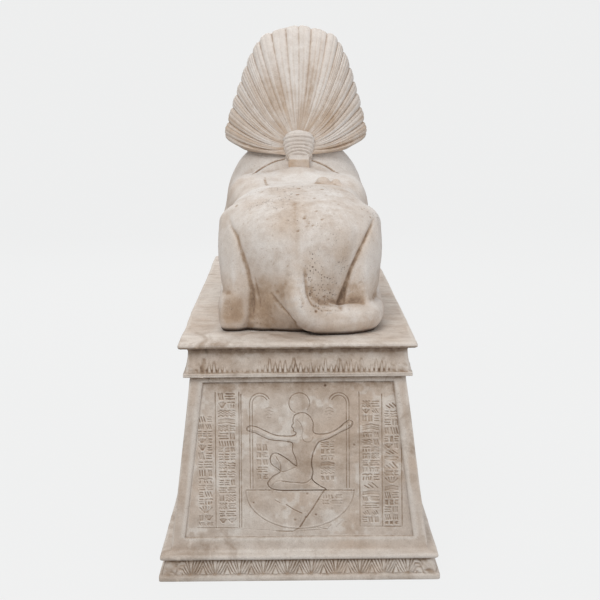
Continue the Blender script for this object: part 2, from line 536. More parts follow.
def pleat_height(s):
    """Across the pleats: broad lobe 0..1, small arch between creases 0..1, crease 0..1."""
    at, depth = np.array([m[0] for m in MARKS]), np.array([m[1] for m in MARKS])
    i = np.clip(np.searchsorted(at, s) - 1, 0, len(at) - 2)
    a, b = at[i], at[i + 1]
    t = np.clip((s - a) / (b - a), 0, 1)
    j = np.clip(np.searchsorted(DEEP, s) - 1, 0, len(DEEP) - 2)
    u = np.clip((s - DEEP[j]) / (DEEP[j + 1] - DEEP[j]), 0, 1)
    wl, wr, wid = depth[i], depth[i + 1], b - a
    cr = np.maximum(wl * np.exp(-(t * wid / (0.0035 + 0.0030 * wl)) ** 2), wr * np.exp(-((1 - t) * wid / (0.0035 + 0.0030 * wr)) ** 2))
    return 1 - np.abs(2 * u - 1) ** 2.2, 1 - np.abs(2 * t - 1) ** 2.2, cr


def build_fan():
    fine = 6
    at = np.array([m[0] for m in MARKS])
    cols = []
    for a, b in zip(at[:-1], at[1:]):
        t = np.linspace(0, 1, fine, endpoint=False)
        cols += list(a + (b - a) * (t - 0.11 * np.sin(2 * np.pi * t)))          # closer set near the creases
    below = 44
    cols += [1 + 2 * i / below if i < below / 2 else -1 - 2 * (1 - i / below) for i in range(below)]
    s = np.array(cols)
    nr = 62
    rear = np.sin(np.linspace(0, 1, nr) * np.pi / 2) ** 0.95
    front = np.cos(np.linspace(0, 1, 22)[1:] * np.pi / 2 * 0.93)
    rows = [(qq, True) for qq in rear] + [(qq, False) for qq in front]
    ox, oz = fan_outline(s)
    a = np.abs(s)
    theta = np.sign(s) * np.where(a <= 1, 1.85 * a, 1.85 + (a - 1) * 1.29)
    rx, rz = PLAIT_X + 25 * np.sin(theta), 374 + 30 * np.cos(theta)          # arch round the plait where the pleats start
    ln = np.hypot(ox - rx, oz - rz)
    down = np.clip((a - 1) / 0.25, 0, 1)
    cx, cz = rx + 0.36 * ln * np.sin(theta), rz + 0.36 * ln * np.cos(theta)
    mx, mz = (rx + ox) / 2, (rz + oz) / 2
    cx, cz = np.where(a > 1, cx * (1 - down) + mx * down, cx), np.where(a > 1, cz * (1 - down) + mz * down, cz)
    inside = a < 1
    wrap = np.clip((1.05 - a) / 0.05, 0, 1)
    wing = np.clip((a - 0.5) / 0.4, 0, 1)
    wing = wing * wing * (3 - 2 * wing)
    lobe, arch, cr = pleat_height(np.clip(s, -1, 1))
    V, cav, tan = [], [], []
    nz, ray = Noise(6, 30), Noise(9, 1.0)
    for qq, is_rear in rows:
        rim = np.clip((qq - 0.70) / 0.28, 0, 1) ** 1.5
        root = np.clip((0.40 - qq) / 0.25, 0, 1)
        amp = (np.maximum(np.maximum(0.28 + 0.36 * wing, rim * 0.85), 0.60 * root) if is_rear else np.full(s.shape, 0.6)) * wrap
        rise = (4.2 * (lobe - 0.5) + 0.8 * (arch - 0.5) - 1.2 * cr) * qq ** 4 * wrap
        t2 = 1 - qq
        x = t2 * t2 * rx + 2 * t2 * qq * cx + qq * qq * ox
        z = t2 * t2 * rz + 2 * t2 * qq * cz + qq * qq * oz
        gx, gz = ox - rx, oz - rz
        x = x + np.where(inside, rise, 0) * gx / ln
        z = z + np.where(inside, rise, 0) * gz / ln
        expo = (2.15 + 2.2 * down) if is_rear else np.full(s.shape, 3.0)
        h = np.maximum(0, 1 - qq ** expo) ** (0.56 if is_rear else 0.5) * (FAN_REAR if is_rear else FAN_FRONT)
        near = np.clip(qq * 3, 0, 1) * (np.sin(np.pi * min(qq * 1.01, 1)) ** 0.5 if qq < 0.99 else 0.0)
        size = np.clip(0.35 + 0.8 * qq, 0, 1)
        h = h + near * amp * size * (5.0 * (lobe - 0.5) + 2.2 * (arch - 0.5) - 3.4 * cr)
        y = HEAD_Y + (-h if is_rear else h) + 4
        x = x + FAN_LEAN * (z - 470) + PLAIT_X * 0.5 * qq
        k = nz((x + 900, y + 900, z + 900))
        y = y + (-0.9 if is_rear else 0.9) * k
        V.append(np.stack([x, y, z], 1))
        st = 0.5 + 0.5 * ray((s * 38 + 60, qq * 2.2 + 5 + 0 * s, 3 + 0 * s))
        st2 = 0.5 + 0.5 * ray((s * 9 + 60, qq * 1.7 + 5 + 0 * s, 9 + 0 * s))
        cav.append(np.clip(0.50 * cr * amp + 0.12 * (1 - lobe) * amp + (0.24 if is_rear else 0) * (1 - wing) + 0.20 * down + (0.75 if is_rear else 0.2) * (1 - 0.5 * wing) * np.clip(st * 0.9 + st2 * 0.7 - 0.35, 0, 1) * math.sin(math.pi * min(qq, 1)), 0, 1.3))
        low = np.clip((590 - z) / 190, 0, 1)
        tan.append(np.clip((0.06 + 0.95 * low) * np.clip(st * 1.1 + st2 * 0.9 - 0.62, 0, 1) * 1.10 + 0.25 * wing * rim * (1 - lobe), 0, 0.9) * (1 if is_rear else 0.5))
    C = len(s)
    V, cav, tan = np.concatenate(V), np.concatenate(cav), np.concatenate(tan)
    R = len(rows)
    a = np.arange(C)
    b = (a + 1) % C
    quads = np.concatenate([np.stack([r * C + a, (r + 1) * C + a, (r + 1) * C + b, r * C + b], 1) for r in range(R - 1)])
    caps = []
    for r in (0, R - 1):                                            # close the root and the middle of the front
        V = np.vstack([V, V[r * C:(r + 1) * C].mean(0)])
        cav, tan = np.append(cav, 0.4), np.append(tan, 0.3)
        c = len(V) - 1
        caps.append(np.stack([r * C + a, r * C + b, np.full(C, c)] if r == 0 else [r * C + b, r * C + a, np.full(C, c)], 1))
    return V, quads, np.concatenate(caps), cav, tan


def build_plait():
    side, n = ((72, 96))
    V, cav = [], []
    for i in range(n + 1):
        t = i / n
        ring = 7.0 * t + 0.12 * math.sin(9 * t)
        w = (19 + 20 * math.sqrt(max(0, 1 - (1 - t / 0.26) ** 2)) if t < 0.26 else 39 - 10 * ((t - 0.26) / 0.74) ** 1.4)
        for j in range(side):
            a = 2 * math.pi * j / side
            s = max(math.sin(a), 0)
            arch = 24 * (s - 1)                      # rings arch up in the middle
            groove = 0.5 - 0.5 * math.cos(2 * math.pi * (ring))
            bump = 2.7 * groove ** 0.6 - 1.3 if 0.05 < t else 0
            dep = (21 - 4 * t) * (1 if t > 0.12 else (t / 0.12) ** 0.5)
            ww = w + bump
            V.append([PLAIT_X + ww * math.cos(a), HEAD_Y - FAN_REAR - 1 + 14 * t * t - (dep + bump if math.sin(a) > 0 else 40) * math.sin(a), 412 - 62 * t + arch * (0.30 + 0.70 * t)])
            cav.append(0.10 * (1 - groove) ** 3 if t > 0.04 else 0.03)
    V, cav = np.array(V), np.array(cav)
    a = np.arange(side)
    b = (a + 1) % side
    q = np.concatenate([np.stack([r * side + a, (r + 1) * side + a, (r + 1) * side + b, r * side + b], 1) for r in range(n)])
    V = np.vstack([V, V[:side].mean(0), V[-side:].mean(0)])
    cav = np.append(cav, [0, 0.5])
    caps = np.concatenate([np.stack([a, b, np.full(side, len(V) - 2)], 1), np.stack([n * side + b, n * side + a, np.full(side, len(V) - 1)], 1)])
    V = V + 0.7 * Noise(14, 7)((V[:, 0] + 500, V[:, 1] + 500, V[:, 2] + 500))[:, None] * [0.4, 1, 0.8]
    return V, q, caps, cav, np.full(len(V), 0.05)


def end_field(q):
    """Squared end of the plait."""
    yc = HEAD_Y - FAN_REAR + 12 - 0.12 * (q[2] - 336)
    slope = 0.62 * np.clip(yc + 4 - q[1], 0, 60)                    # its upper face slants down to the rear
    dx, dy, dz = np.abs(q[0] - PLAIT_X) - (22 + 0.06 * (350 - q[2])), np.abs(q[1] - yc) - 27, np.maximum(q[2] + slope - 358, 318 - q[2])
    o = np.sqrt(np.maximum(dx, 0) ** 2 + np.maximum(dy, 0) ** 2 + np.maximum(dz, 0) ** 2)
    return o + np.minimum(np.maximum(np.maximum(dx, dy), dz), 0) - 3


def lappet_field(q):
    ax = np.abs(q[0])
    t = np.clip((405 - q[2]) / 185, 0, 1)
    cx, hw, yc = 104 - 32 * t, 36 - 6 * t, HEAD_Y + 38 + 108 * np.sin(t * 1.45)
    dx, dy, dz = np.abs(ax - cx) - hw + 4, np.abs(q[1] - yc) - 22, np.abs(q[2] - 313) - 88
    o = np.sqrt(np.maximum(dx, 0) ** 2 + np.maximum(dy, 0) ** 2 + np.maximum(dz, 0) ** 2)
    stripe = 0.9 * np.sin(q[2] * (2 * np.pi / 13.0))
    return o + np.minimum(np.maximum(np.maximum(dx, dy), dz), 0) - 4.5 - stripe * (q[1] > yc)


CROWN_Y, CROWN_Z, CROWN = HEAD_Y + 18, 548.0, (116.0, 100.0, HEAD_TOP - 553)


def crown_field(q):
    a = np.arctan2(q[0], q[1] - CROWN_Y)
    flute = 1.1 * np.cos(a * 30) * np.clip((HEAD_TOP - q[2]) / 40, 0, 1)
    d = sup(q, (0, CROWN_Y, CROWN_Z), CROWN, 2.0) - flute
    d = smax(d, BAND_Z - q[2], 3)
    tilt = q[2] - (BAND_Z + 3) - 0.05 * (q[1] - CROWN_Y)
    ring = np.hypot(q[0] / CROWN[0], (q[1] - CROWN_Y) / CROWN[1])
    band = smax((ring - 1.035) * 100, np.abs(tilt) - 9, 3)
    return smin(d, band, 2)


def head_front(q):
    d = smin(face_field(q), crown_field(q), 2)
    return np.maximum(np.maximum(d, HEAD_Y - 4 - q[1]), 340 - q[2])


def build_head():
    pieces = []
    # fan and plait, triangles
    for build in (build_fan, build_plait):
        v, q, caps, cav, tan = build()
        tris = np.concatenate([tri_quads(q), caps])
        a, b, c = v[tris[:, 0]], v[tris[:, 1]], v[tris[:, 2]]
        if np.einsum("ij,ij->i", a, np.cross(b, c)).sum() < 0:
            tris = tris[:, ::-1]
        pieces.append((v, tris, cav, tan))
    cell = 2.7
    for field, lo, hi, base in ((head_front, (-125, HEAD_Y - 14, 330), (125, HEAD_Y + 145, 690), 0.0),
                                (lappet_field, (-150, 715, 212), (150, 900, 412), 0.1),
                                (end_field, (PLAIT_X - 34, 560, 306), (PLAIT_X + 34, 648, 370), 0.25)):
        v, q = skin(field, lo, hi, cell)
        q = outward(v, q)
        n = grad(field, tuple(v.T.astype(F)))
        n = (n / np.maximum(np.linalg.norm(n, axis=0), 1e-6)).T
        cav = base + 0.8 * np.clip(hollow(field, v, n, 6), 0, 1)
        k = Noise(7, 10)((v[:, 0] + 900, v[:, 1] + 900, v[:, 2] + 900))
        v = v + n * (0.35 * k)[:, None] * (3 if field is end_field else 1)
        pieces.append((v, tri_quads(q), cav, 0.95 - 0.9 * np.clip(n[:, 2] * 1.4, 0, 1) if field is end_field else np.full(len(v), 0.12)))
    V = np.concatenate([p[0] for p in pieces])
    off = np.cumsum([0] + [len(p[0]) for p in pieces])
    T = np.concatenate([p[1] + o for p, o in zip(pieces, off)])[:, ::-1]      # place() mirrors, so the faces turn over once
    cav = np.concatenate([p[2] for p in pieces])
    tan = np.concatenate([p[3] for p in pieces])
    bloom = 0.42 * np.clip((V[:, 2] - 560) / 110, 0, 1) + 1.0 * (np.hypot(V[:, 0] - PLAIT_X, 0.6 * (V[:, 2] - 378)) < 42) * (V[:, 1] < HEAD_Y - FAN_REAR + 2)
    return stone_piece("sphinx_head", place(V), T, cav, tan=tan, pitty=0.04, turn=False, most=196000, bloom=bloom)


# ------------------------------------------------------------------ relief drawn on a flat millimetre sheet
class Sheet:
    """Heights over a flat face: u across, v up, one sample a millimetre."""

    def __init__(self, u0, u1, v0, v1, step=1.0):
        self.u0, self.v0, self.step = u0, v0, step
        self.nu, self.nv = int((u1 - u0) / step) + 1, int((v1 - v0) / step) + 1
        self.h = np.zeros((self.nu, self.nv))
        self.ink = np.zeros((self.nu, self.nv))

    def window(self, pts, pad):
        pts = np.array(pts, float)
        lo, hi = pts.min(0) - pad, pts.max(0) + pad
        i0, j0 = max(0, int((lo[0] - self.u0) / self.step)), max(0, int((lo[1] - self.v0) / self.step))
        i1, j1 = min(self.nu, int((hi[0] - self.u0) / self.step) + 2), min(self.nv, int((hi[1] - self.v0) / self.step) + 2)
        if i1 <= i0 or j1 <= j0:
            return None
        u, v = np.meshgrid(self.u0 + np.arange(i0, i1) * self.step, self.v0 + np.arange(j0, j1) * self.step, indexing="ij")
        return (slice(i0, i1), slice(j0, j1)), u, v

    def groove(self, pts, width=2.4, depth=1.1, ink=0.8, closed=False):
        if closed:
            pts = list(pts) + [pts[0]]
        w = self.window(pts, width * 2.2)
        if w is None:
            return
        s, u, v = w
        d, _ = near_line(u, v, pts)
        k = np.exp(-(d / (width * 0.62)) ** 2)
        lip = 0.30 * depth * np.exp(-((d - 1.35 * width) / (0.6 * width)) ** 2)
        self.h[s] = self.h[s] - depth * k + lip
        self.ink[s] = np.maximum(self.ink[s], ink * k)

    def ridge(self, pts, width, height):
        s, u, v = self.window(pts, width * 2.5)
        d, _ = near_line(u, v, pts)
        self.h[s] += height * np.exp(-(d / width) ** 2)

    def inside(self, u, v, pts):
        pts = np.array(pts, float)
        c = np.zeros(u.shape, bool)
        for (a, b), (e, f) in zip(pts, np.roll(pts, -1, 0)):
            m = (b > v) != (f > v)
            with np.errstate(divide="ignore", invalid="ignore"):
                c ^= m & (u < (e - a) * (v - b) / (f - b if f != b else 1e-9) + a)
        return c

    def pillow(self, pts, height, soft):
        s, u, v = self.window(pts, 3)
        d, _ = near_line(u, v, list(pts) + [pts[0]])
        d = np.where(self.inside(u, v, pts), d, 0)
        self.h[s] += height * (1 - np.exp(-(d / soft) ** 1.3))

    def read(self, u, v, which=None):
        a = self.h if which is None else which
        x = np.clip((u - self.u0) / self.step, 0, self.nu - 1.001)
        y = np.clip((v - self.v0) / self.step, 0, self.nv - 1.001)
        i, j = x.astype(int), y.astype(int)
        f, g = x - i, y - j
        return (a[i, j] * (1 - f) * (1 - g) + a[i + 1, j] * f * (1 - g) + a[i, j + 1] * (1 - f) * g + a[i + 1, j + 1] * f * g)


def motif(sheet, r, x, y, w, h, dep):
    """One small worn mark of plain strokes, inside the box at x, y."""
    wd = r.uniform(1.7, 2.2)

    def put(pts, closed=False):
        sheet.groove([(x + a * w + r.normal(0, 0.2), y + b * h + r.normal(0, 0.2)) for a, b in pts], wd, dep, 0.62, closed)

    kind = r.choice((1, 2, 3, 6)) if w < 15 else r.integers(0, 10)
    if kind == 0:                           # stacked ripples
        n = 3 if h > 9 else 2
        for i in range(n):
            waves = max(2.5, w / 9)
            put([(a, (i + 0.5) / n + 0.34 / n * math.sin(2 * math.pi * a * waves)) for a in np.linspace(0, 1, int(waves * 6))])
    elif kind == 1:                         # a row of equal ticks
        n = max(3, int(w / 5.4))
        for i in range(n):
            put([((i + 0.5) / n, 0.12), ((i + 0.5) / n + 0.05, 0.88)])
    elif kind == 2:                         # staggered level bars
        for i in range(3):
            put([(0.14 * (i % 2), (i + 0.5) / 3), (0.86 + 0.14 * (i % 2), (i + 0.5) / 3)])
    elif kind == 3:                         # short dashes, laid like bricks
        n = max(2, int(w / 8))
        for j in range(3):
            for i in range(n):
                a = (i + 0.25 + 0.35 * (j % 2)) / n
                put([(a - 0.12, (j + 0.5) / 3), (min(a + 0.34 / n * 1.6, 1.0), (j + 0.5) / 3)])
    elif kind == 4:                         # slants that shorten to one side
        for i in range(3):
            put([(0.06 + 0.28 * i, 0.14), (0.42 + 0.24 * i, 0.90 - 0.2 * i)])
    elif kind == 5:                         # two wavering lines over a bar
        put([(0.0, 0.72), (0.3, 0.88), (0.62, 0.72), (1.0, 0.84)])
        put([(0.0, 0.42), (0.35, 0.54), (0.7, 0.40), (1.0, 0.50)])
        put([(0.12, 0.14), (0.88, 0.16)])
    elif kind == 6:                         # combed slants
        n = max(3, int(w / 6))
        for i in range(n):
            put([((i + 0.2) / n, 0.1), ((i + 0.85) / n, 0.9)])
    elif kind == 7:                         # nested flat chevrons
        for i in range(3):
            put([(0.0, 0.08 + 0.27 * i), (0.5, 0.34 + 0.27 * i), (1.0, 0.08 + 0.27 * i)])
    elif kind == 8:                         # splayed plume of strokes
        for i in range(5):
            q = (i - 2) / 2
            put([(0.5 + 0.12 * q, 0.16), (0.5 + 0.46 * q, 0.92 - 0.12 * q * q)])
    else:                                   # wavering line with loose ticks under it
        put([(0.0, 0.80), (0.25, 0.90), (0.5, 0.76), (0.75, 0.88), (1.0, 0.80)])
        for q in (0.12, 0.42, 0.58, 0.9):
            put([(q, 0.52), (q + r.uniform(-0.08, 0.08), 0.12)])


def marks_column(sheet, u0, u1, v0, v1, seed, worn=0.0):
    """A column of shallow cut strokes, in rows, that stand for no sign or letter."""
    r = np.random.default_rng(seed)
    splits = ((1.0,), (0.5, 0.5), (0.38, 0.62), (0.62, 0.38), (0.34, 0.33, 0.33))
    v, wide = v1, u1 - u0 - 3
    while v > v0 + 7:
        hgt = min(r.uniform(12, 19), v - v0)
        x = u0 + 1.5
        for part in splits[r.choice(5, p=[0.26, 0.30, 0.16, 0.16, 0.12])]:
            w = wide * part
            if w > 6:
                motif(sheet, r, x + 2.0, v - hgt + 1.5, w - 4.0, hgt - 3.0, 1.6 * (1 - worn * r.random()))
            x += w
        v -= hgt


def soft_line(pts, n=4):
    return [tuple(q) for q in catmull([[a, b, 0, 0] for a, b in pts], (len(pts) - 1) * n)[:, :2]]


def soft_loop(pts, n=4):
    k = len(pts)
    ring = soft_line([pts[i % k] for i in range(-2, k + 3)], n)
    return ring[2 * n:(k + 2) * n]


BEARER = [(7, 287), (-9, 292), (-22, 286), (-31, 271), (-32, 249), (-61, 247), (-83, 257), (-100, 271), (-108, 275), (-115, 270), (-111, 261),
          (-86, 248), (-61, 235), (-44, 230), (-35, 217), (-29, 200), (-27, 182), (-30, 165), (-28, 150), (-43, 136), (-58, 127), (-8, 126),
          (45, 127), (61, 132), (66, 141), (56, 155), (39, 167), (58, 183), (60, 196), (54, 205), (44, 205), (27, 195), (5, 178), (6, 193),
          (13, 211), (13, 227), (26, 231), (61, 235), (93, 250), (103, 252), (109, 257), (104, 264), (91, 263), (73, 255), (47, 244), (8, 244),
          (5, 249), (10, 252), (11, 258), (14.5, 262.5), (11, 269), (11.5, 276)]
HAIR = [(4, 278), (-4, 270), (-9, 257), (-7, 243), (-12, 232), (-24, 230), (-31, 240)]


def rear_sheet():
    s = Sheet(-250, 250, 18, 362, 0.6)
    for n, (a, b, top) in enumerate(((180, 215, 288), (131, 172, 337), (-173, -132, 318), (-214, -179, 314))):
        marks_column(s, a, b, 50, top, 40 + n)
    for x0, x1, top in ((175, 176.5, 337), (125, 126.5, 337), (121, 122, 332), (-128, -129.5, 335), (-176, -177, 330), (-217, -219, 280)):
        s.groove([(x0, top), (x1, 47)], 1.5, 1.3, 0.85)
    for a, b in ((216, 131), (-131, -217)):
        s.groove([(a, 47), (b, 46)], 1.5, 1.2, 0.8)
    # staffs, twice outlined, bent over inwards at the top
    for k, cx in ((1, 100), (-1, -104)):
        for off in (-2.8, 2.8):
            rad = 19 + off
            s.groove([(cx + off * k, 130)] + [(cx - 19 * k + rad * k * math.cos(t), 312 + rad * math.sin(t)) for t in np.linspace(0, 2.7, 14)], 1.4, 1.35, 0.85)
    # half-round basket with a raised rim line
    bowl = [(-2 + 112 * math.cos(t), 126 + 80 * math.sin(t)) for t in np.linspace(-math.pi, 0, 33)]
    s.pillow(bowl, 0.8, 8)
    s.ridge(bowl, 1.3, 0.9)
    s.groove([(-2 + 115 * math.cos(t), 126 + 83 * math.sin(t)) for t in np.linspace(-math.pi, 0, 33)], 1.4, 0.9, 0.6)
    s.groove([(112, 127), (-117, 125)], 1.6, 1.5, 1.0)
    s.groove([(-53, 124), (-41, 106), (-29, 86), (-14, 66), (-2, 47)], 2.2, 1.6, 1.2)
    s.groove([(-2, 47), (5, 42), (14, 37), (49, 38)], 1.6, 1.1, 0.8)
    s.groove([(28, 96), (10, 84), (-6, 77)], 1.6, 1.2, 1.0)
    s.groove([(51, 106), (40, 99)], 1.5, 0.9, 0.7)
    s.groove([(-40, 106), (-60, 104), (-74, 110)], 1.4, 0.9, 0.6)
    # disc over the head
    s.groove([(-2 + 22.0 * math.cos(t), 312 + 22.0 * math.sin(t)) for t in np.linspace(-1.2, 3.9, 33)], 1.5, 1.2, 0.75)
    # kneeling bearer, sunk outline round a softly swelling body
    shape = soft_loop(BEARER)
    s.pillow(shape, 5.2, 10)
    s.groove(shape, 1.35, 2.2, 0.80, closed=True)
    for part in (soft_line([(-58, 127), (-8, 126), (45, 127), (61, 132), (66, 141)]), soft_line([(-29, 200), (-27, 182), (-30, 165), (-28, 150), (-43, 136)]), soft_line([(5, 178), (27, 195), (44, 205)])):
        s.groove(part, 1.7, 0.8, 1.3)
    s.groove(soft_line(HAIR), 1.4, 1.0, 0.8)
    s.groove(soft_line([(4, 177), (20, 171), (37, 167), (39, 183), (48, 199)]), 1.5, 1.2, 0.85)
    s.groove(soft_line([(36, 147), (13, 144), (-15, 143), (-27, 151)]), 1.7, 1.6, 1.0)
    s.groove(soft_line([(-26, 149), (-38, 139), (-55, 130)]), 1.4, 1.0, 0.6)
    s.groove(soft_line([(60, 134), (50, 145), (38, 148)]), 1.4, 1.0, 0.6)
    for x in (-2, -8, -14, -20, -26):       # hair strands
        s.groove([(x + 1, 285), (x - 3, 262), (x - 3, 240)], 1.1, 0.4, 0.25)
    for hx, hy in ((106, 258), (-108, 268)):
        s.groove([(hx + 4.5 * math.cos(t), hy + 5 * math.sin(t)) for t in np.linspace(0, 2 * math.pi, 11)], 1.3, 1.2, 0.9)
        for j in (-2.5, 0, 2.5):
            s.groove([(hx - 4, hy + j), (hx + 3, hy + j)], 1.0, 0.6, 0.5)
    # small marks in the field
    marks_column(s, 63, 92, 148, 228, 51, 0.3)
    marks_column(s, -78, -44, 146, 232, 52, 0.3)
    marks_column(s, -94, -46, 92, 118, 53, 0.5)
    for cx, cy in ((62, 290), (-65, 289)):
        for j, half in ((13, 7), (6, 9), (-1, 6)):
            s.groove([(cx - half, cy + j - 2), (cx, cy + j + 1), (cx + half, cy + j - 2)], 1.3, 1.0, 0.7)
        s.groove([(cx - 4, cy - 9), (cx + 5, cy - 8)], 1.3, 1.0, 0.7)
    # slanted scars under the basket
    s.groove([(-68, 52), (-60, 42), (-5, 39)], 1.4, 1.0, 0.8)
    s.groove([(-38, 46), (-60, 42)], 1.4, 1.0, 0.8)
    s.groove([(-78, 46), (-92, 60)], 1.4, 0.9, 0.7)
    s.groove([(118, 44), (60, 40), (14, 38)], 1.3, 0.6, 0.6)
    for u, v, rad, dep in ((-57, 349, 3.4, 2.6), (-18, 118, 3.5, 1.4), (8, 62, 4, 1.2), (96, 100, 3, 1.2), (-36, 73, 3, 1.3), (70, 128, 2, 1), (-14, 68, 5, 1.0), (-118, 222, 3, 1.4)):
        s.groove([(u, v), (u + 0.8, v + 0.5)], rad, dep, 1.0)
    return s


def front_sheet():
    """Lotus clump between two columns of strokes."""
    s = Sheet(-250, 250, 18, 362)
    for n, (a, b, top) in enumerate(((180, 215, 300), (131, 172, 330), (-173, -132, 330), (-214, -179, 300))):
        marks_column(s, a, b, 50, top, 60 + n, 0.3)
    for x0, x1 in ((175, 176.5), (125, 126.5), (-125, -126.5), (-175, -176.5)):
        s.groove([(x0, 334), (x1, 47)], 2.4, 1.5, 0.9)
    for a, b in ((216, 131), (-131, -217)):
        s.groove([(a, 47), (b, 46)], 2.4, 1.5, 0.9)
    for k, lean, top in ((0, 0, 300), (1, 52, 262), (-1, -52, 262), (1, 88, 205), (-1, -88, 205)):
        stem = soft_line([(lean * 0.15, 70), (lean * 0.5, 130), (lean * 0.9, top - 42)], 3)
        for off in (-2.5, 2.5):
            s.groove([(a + off, b) for a, b in stem], 2.6, 1.7, 1.0)
        cup = soft_loop([(lean * 0.9 - 6, top - 44), (lean * 0.94 - 15, top - 26), (lean - 25, top - 2), (lean - 12, top - 8), (lean, top + 10), (lean + 12, top - 8), (lean + 25, top - 2), (lean * 0.94 + 15, top - 26), (lean * 0.9 + 6, top - 44)], 3)
        s.pillow(cup, 1.4, 6)
        s.groove(cup, 2.8, 2.0, 1.1, closed=True)
        for d in (-8, 0, 8):
            s.groove([(lean * 0.9 + d * 0.4, top - 34), (lean + d * 1.3, top - 2)], 2.2, 1.3, 0.8)
    s.groove([(-110, 70), (110, 70)], 3.0, 2.0, 1.1)
    for x in range(-100, 101, 20):
        s.groove([(x, 66), (x + 10, 56), (x + 20, 66)], 2.4, 1.4, 0.9)
    s.groove([(-110, 52), (110, 52)], 2.4, 1.5, 0.9)
    return s


def side_sheet(seed):
    """Rows of framed columns with a plain winged disc in the middle."""
    s = Sheet(-600, 600, 18, 362)
    x = -540
    n = 0
    while x < 520:
        if -190 < x < 150:
            x = 158
            continue
        marks_column(s, x + 4, x + 38, 50, 316, seed + n, 0.35)
        s.groove([(x, 326), (x, 47)], 2.4, 1.5, 0.9)
        x += 42
        n += 1
    s.groove([(-560, 330), (560, 330)], 3.2, 1.8, 1.0)
    s.groove([(-560, 46), (560, 46)], 3.2, 1.8, 1.0)
    s.groove([(8 + 24 * math.cos(t), 262 + 24 * math.sin(t)) for t in np.linspace(0, 2 * math.pi, 33)], 3.0, 2.0, 1.1)
    for k in (-1, 1):
        for j in range(3):
            top = 274 - 14 * j
            s.groove([(8 + k * (28 + 2 * j), top), (8 + k * 90, top - 2 - 7 * j), (8 + k * (150 - 24 * j), top - 18 - 12 * j)], 3.2, 2.0, 1.1)
        for j in range(9):
            a = 36 + j * 11
            s.groove([(8 + k * a, 262 - j), (8 + k * (a + 5), 234 - j * 0.5)], 2.6, 1.3, 0.8)
        s.groove([(8 + k * 60, 60), (8 + k * 60, 205)], 3.0, 1.8, 1.0)
        s.groove([(8 + k * 70, 60), (8 + k * 70, 205)], 3.0, 1.8, 1.0)
    marks_column(s, -34, 50, 60, 205, seed + 90, 0.3)
    return s


# ------------------------------------------------------------------ the plinth
LEN_EXTRA = 350.0
DIE_TOP_W, DIE_TOP_Z, DIE_FOOT_W, DIE_FOOT_Z = 226.8, 428.3, 273.1, 60.0
BASE_W, SLAB_W = 297.6, 250.0
PANEL_DEEP, PANEL_SIDE, PANEL_FOOT, PANEL_HEAD = 5.0, 28.0, 27.0, 14.0
BATTER = math.atan2(DIE_FOOT_W - DIE_TOP_W, DIE_TOP_Z - DIE_FOOT_Z)
SLOPE_H = math.hypot(DIE_FOOT_W - DIE_TOP_W, DIE_TOP_Z - DIE_FOOT_Z)
LEAF_PITCH = 51.0


def side_xy(side, t, w):
    """Side 0 rear (+Y), 1 the figure's left (+X), 2 front, 3 right; t along the side, w out from the middle."""
    if side == 0:
        return t, w + LEN_EXTRA
    if side == 2:
        return -t, -(w + LEN_EXTRA)
    if side == 1:
        return w, -t
    return -w, t


def spans(stops):
    out = []
    for a, b, n in stops:
        out += list(np.linspace(a, b, n, endpoint=False))
    return np.array(out + [stops[-1][1]])


LEAF_LINES = (((0, 1), (0.02, 0.24)), ((0, 0.5, 1), (0.07, 0.28, 0.52)), ((0, 0.12, 0.5, 1), (0.14, 0.28, 0.54, 0.80)),
              ((0, 0.12, 0.5, 0.92), (0.28, 0.50, 0.78, 1.02)), ((0, 0.3, 0.62), (0.70, 0.85, 1.03)))


def leaf_relief(u, t):
    """Open flowers with nested petals, and pointed buds between them that flare at the foot; t runs 0..1 up the band."""
    half = LEAF_PITCH / 2
    a = np.abs((u / LEAF_PITCH) % 1.0 - 0.5) * LEAF_PITCH          # 0 at a flower's middle, half a pitch at a bud's
    cut = np.zeros(len(u))
    for ts, ws in LEAF_LINES:
        c = np.interp(t[0], ts, ws) * half
        cut = np.maximum(cut, np.exp(-((a - c) / 1.2) ** 2))
    cut = cut * np.clip(0.65 + 0.9 * np.sin(u / 23.0 + 3 * t) ** 2, 0, 1)
    foot = np.exp(-((a - half) / 2.6) ** 2) * np.clip(1 - t / 0.3, 0, 1)
    h = 1.8 - 3.2 * cut + 1.0 * foot
    fade = np.clip(t / 0.06, 0, 1) * np.clip((1 - t) / 0.06, 0, 1)
    return h * fade, np.clip(0.62 * cut + 0.45 * np.exp(-((1 - t) / 0.16) ** 2), 0, 1.2)


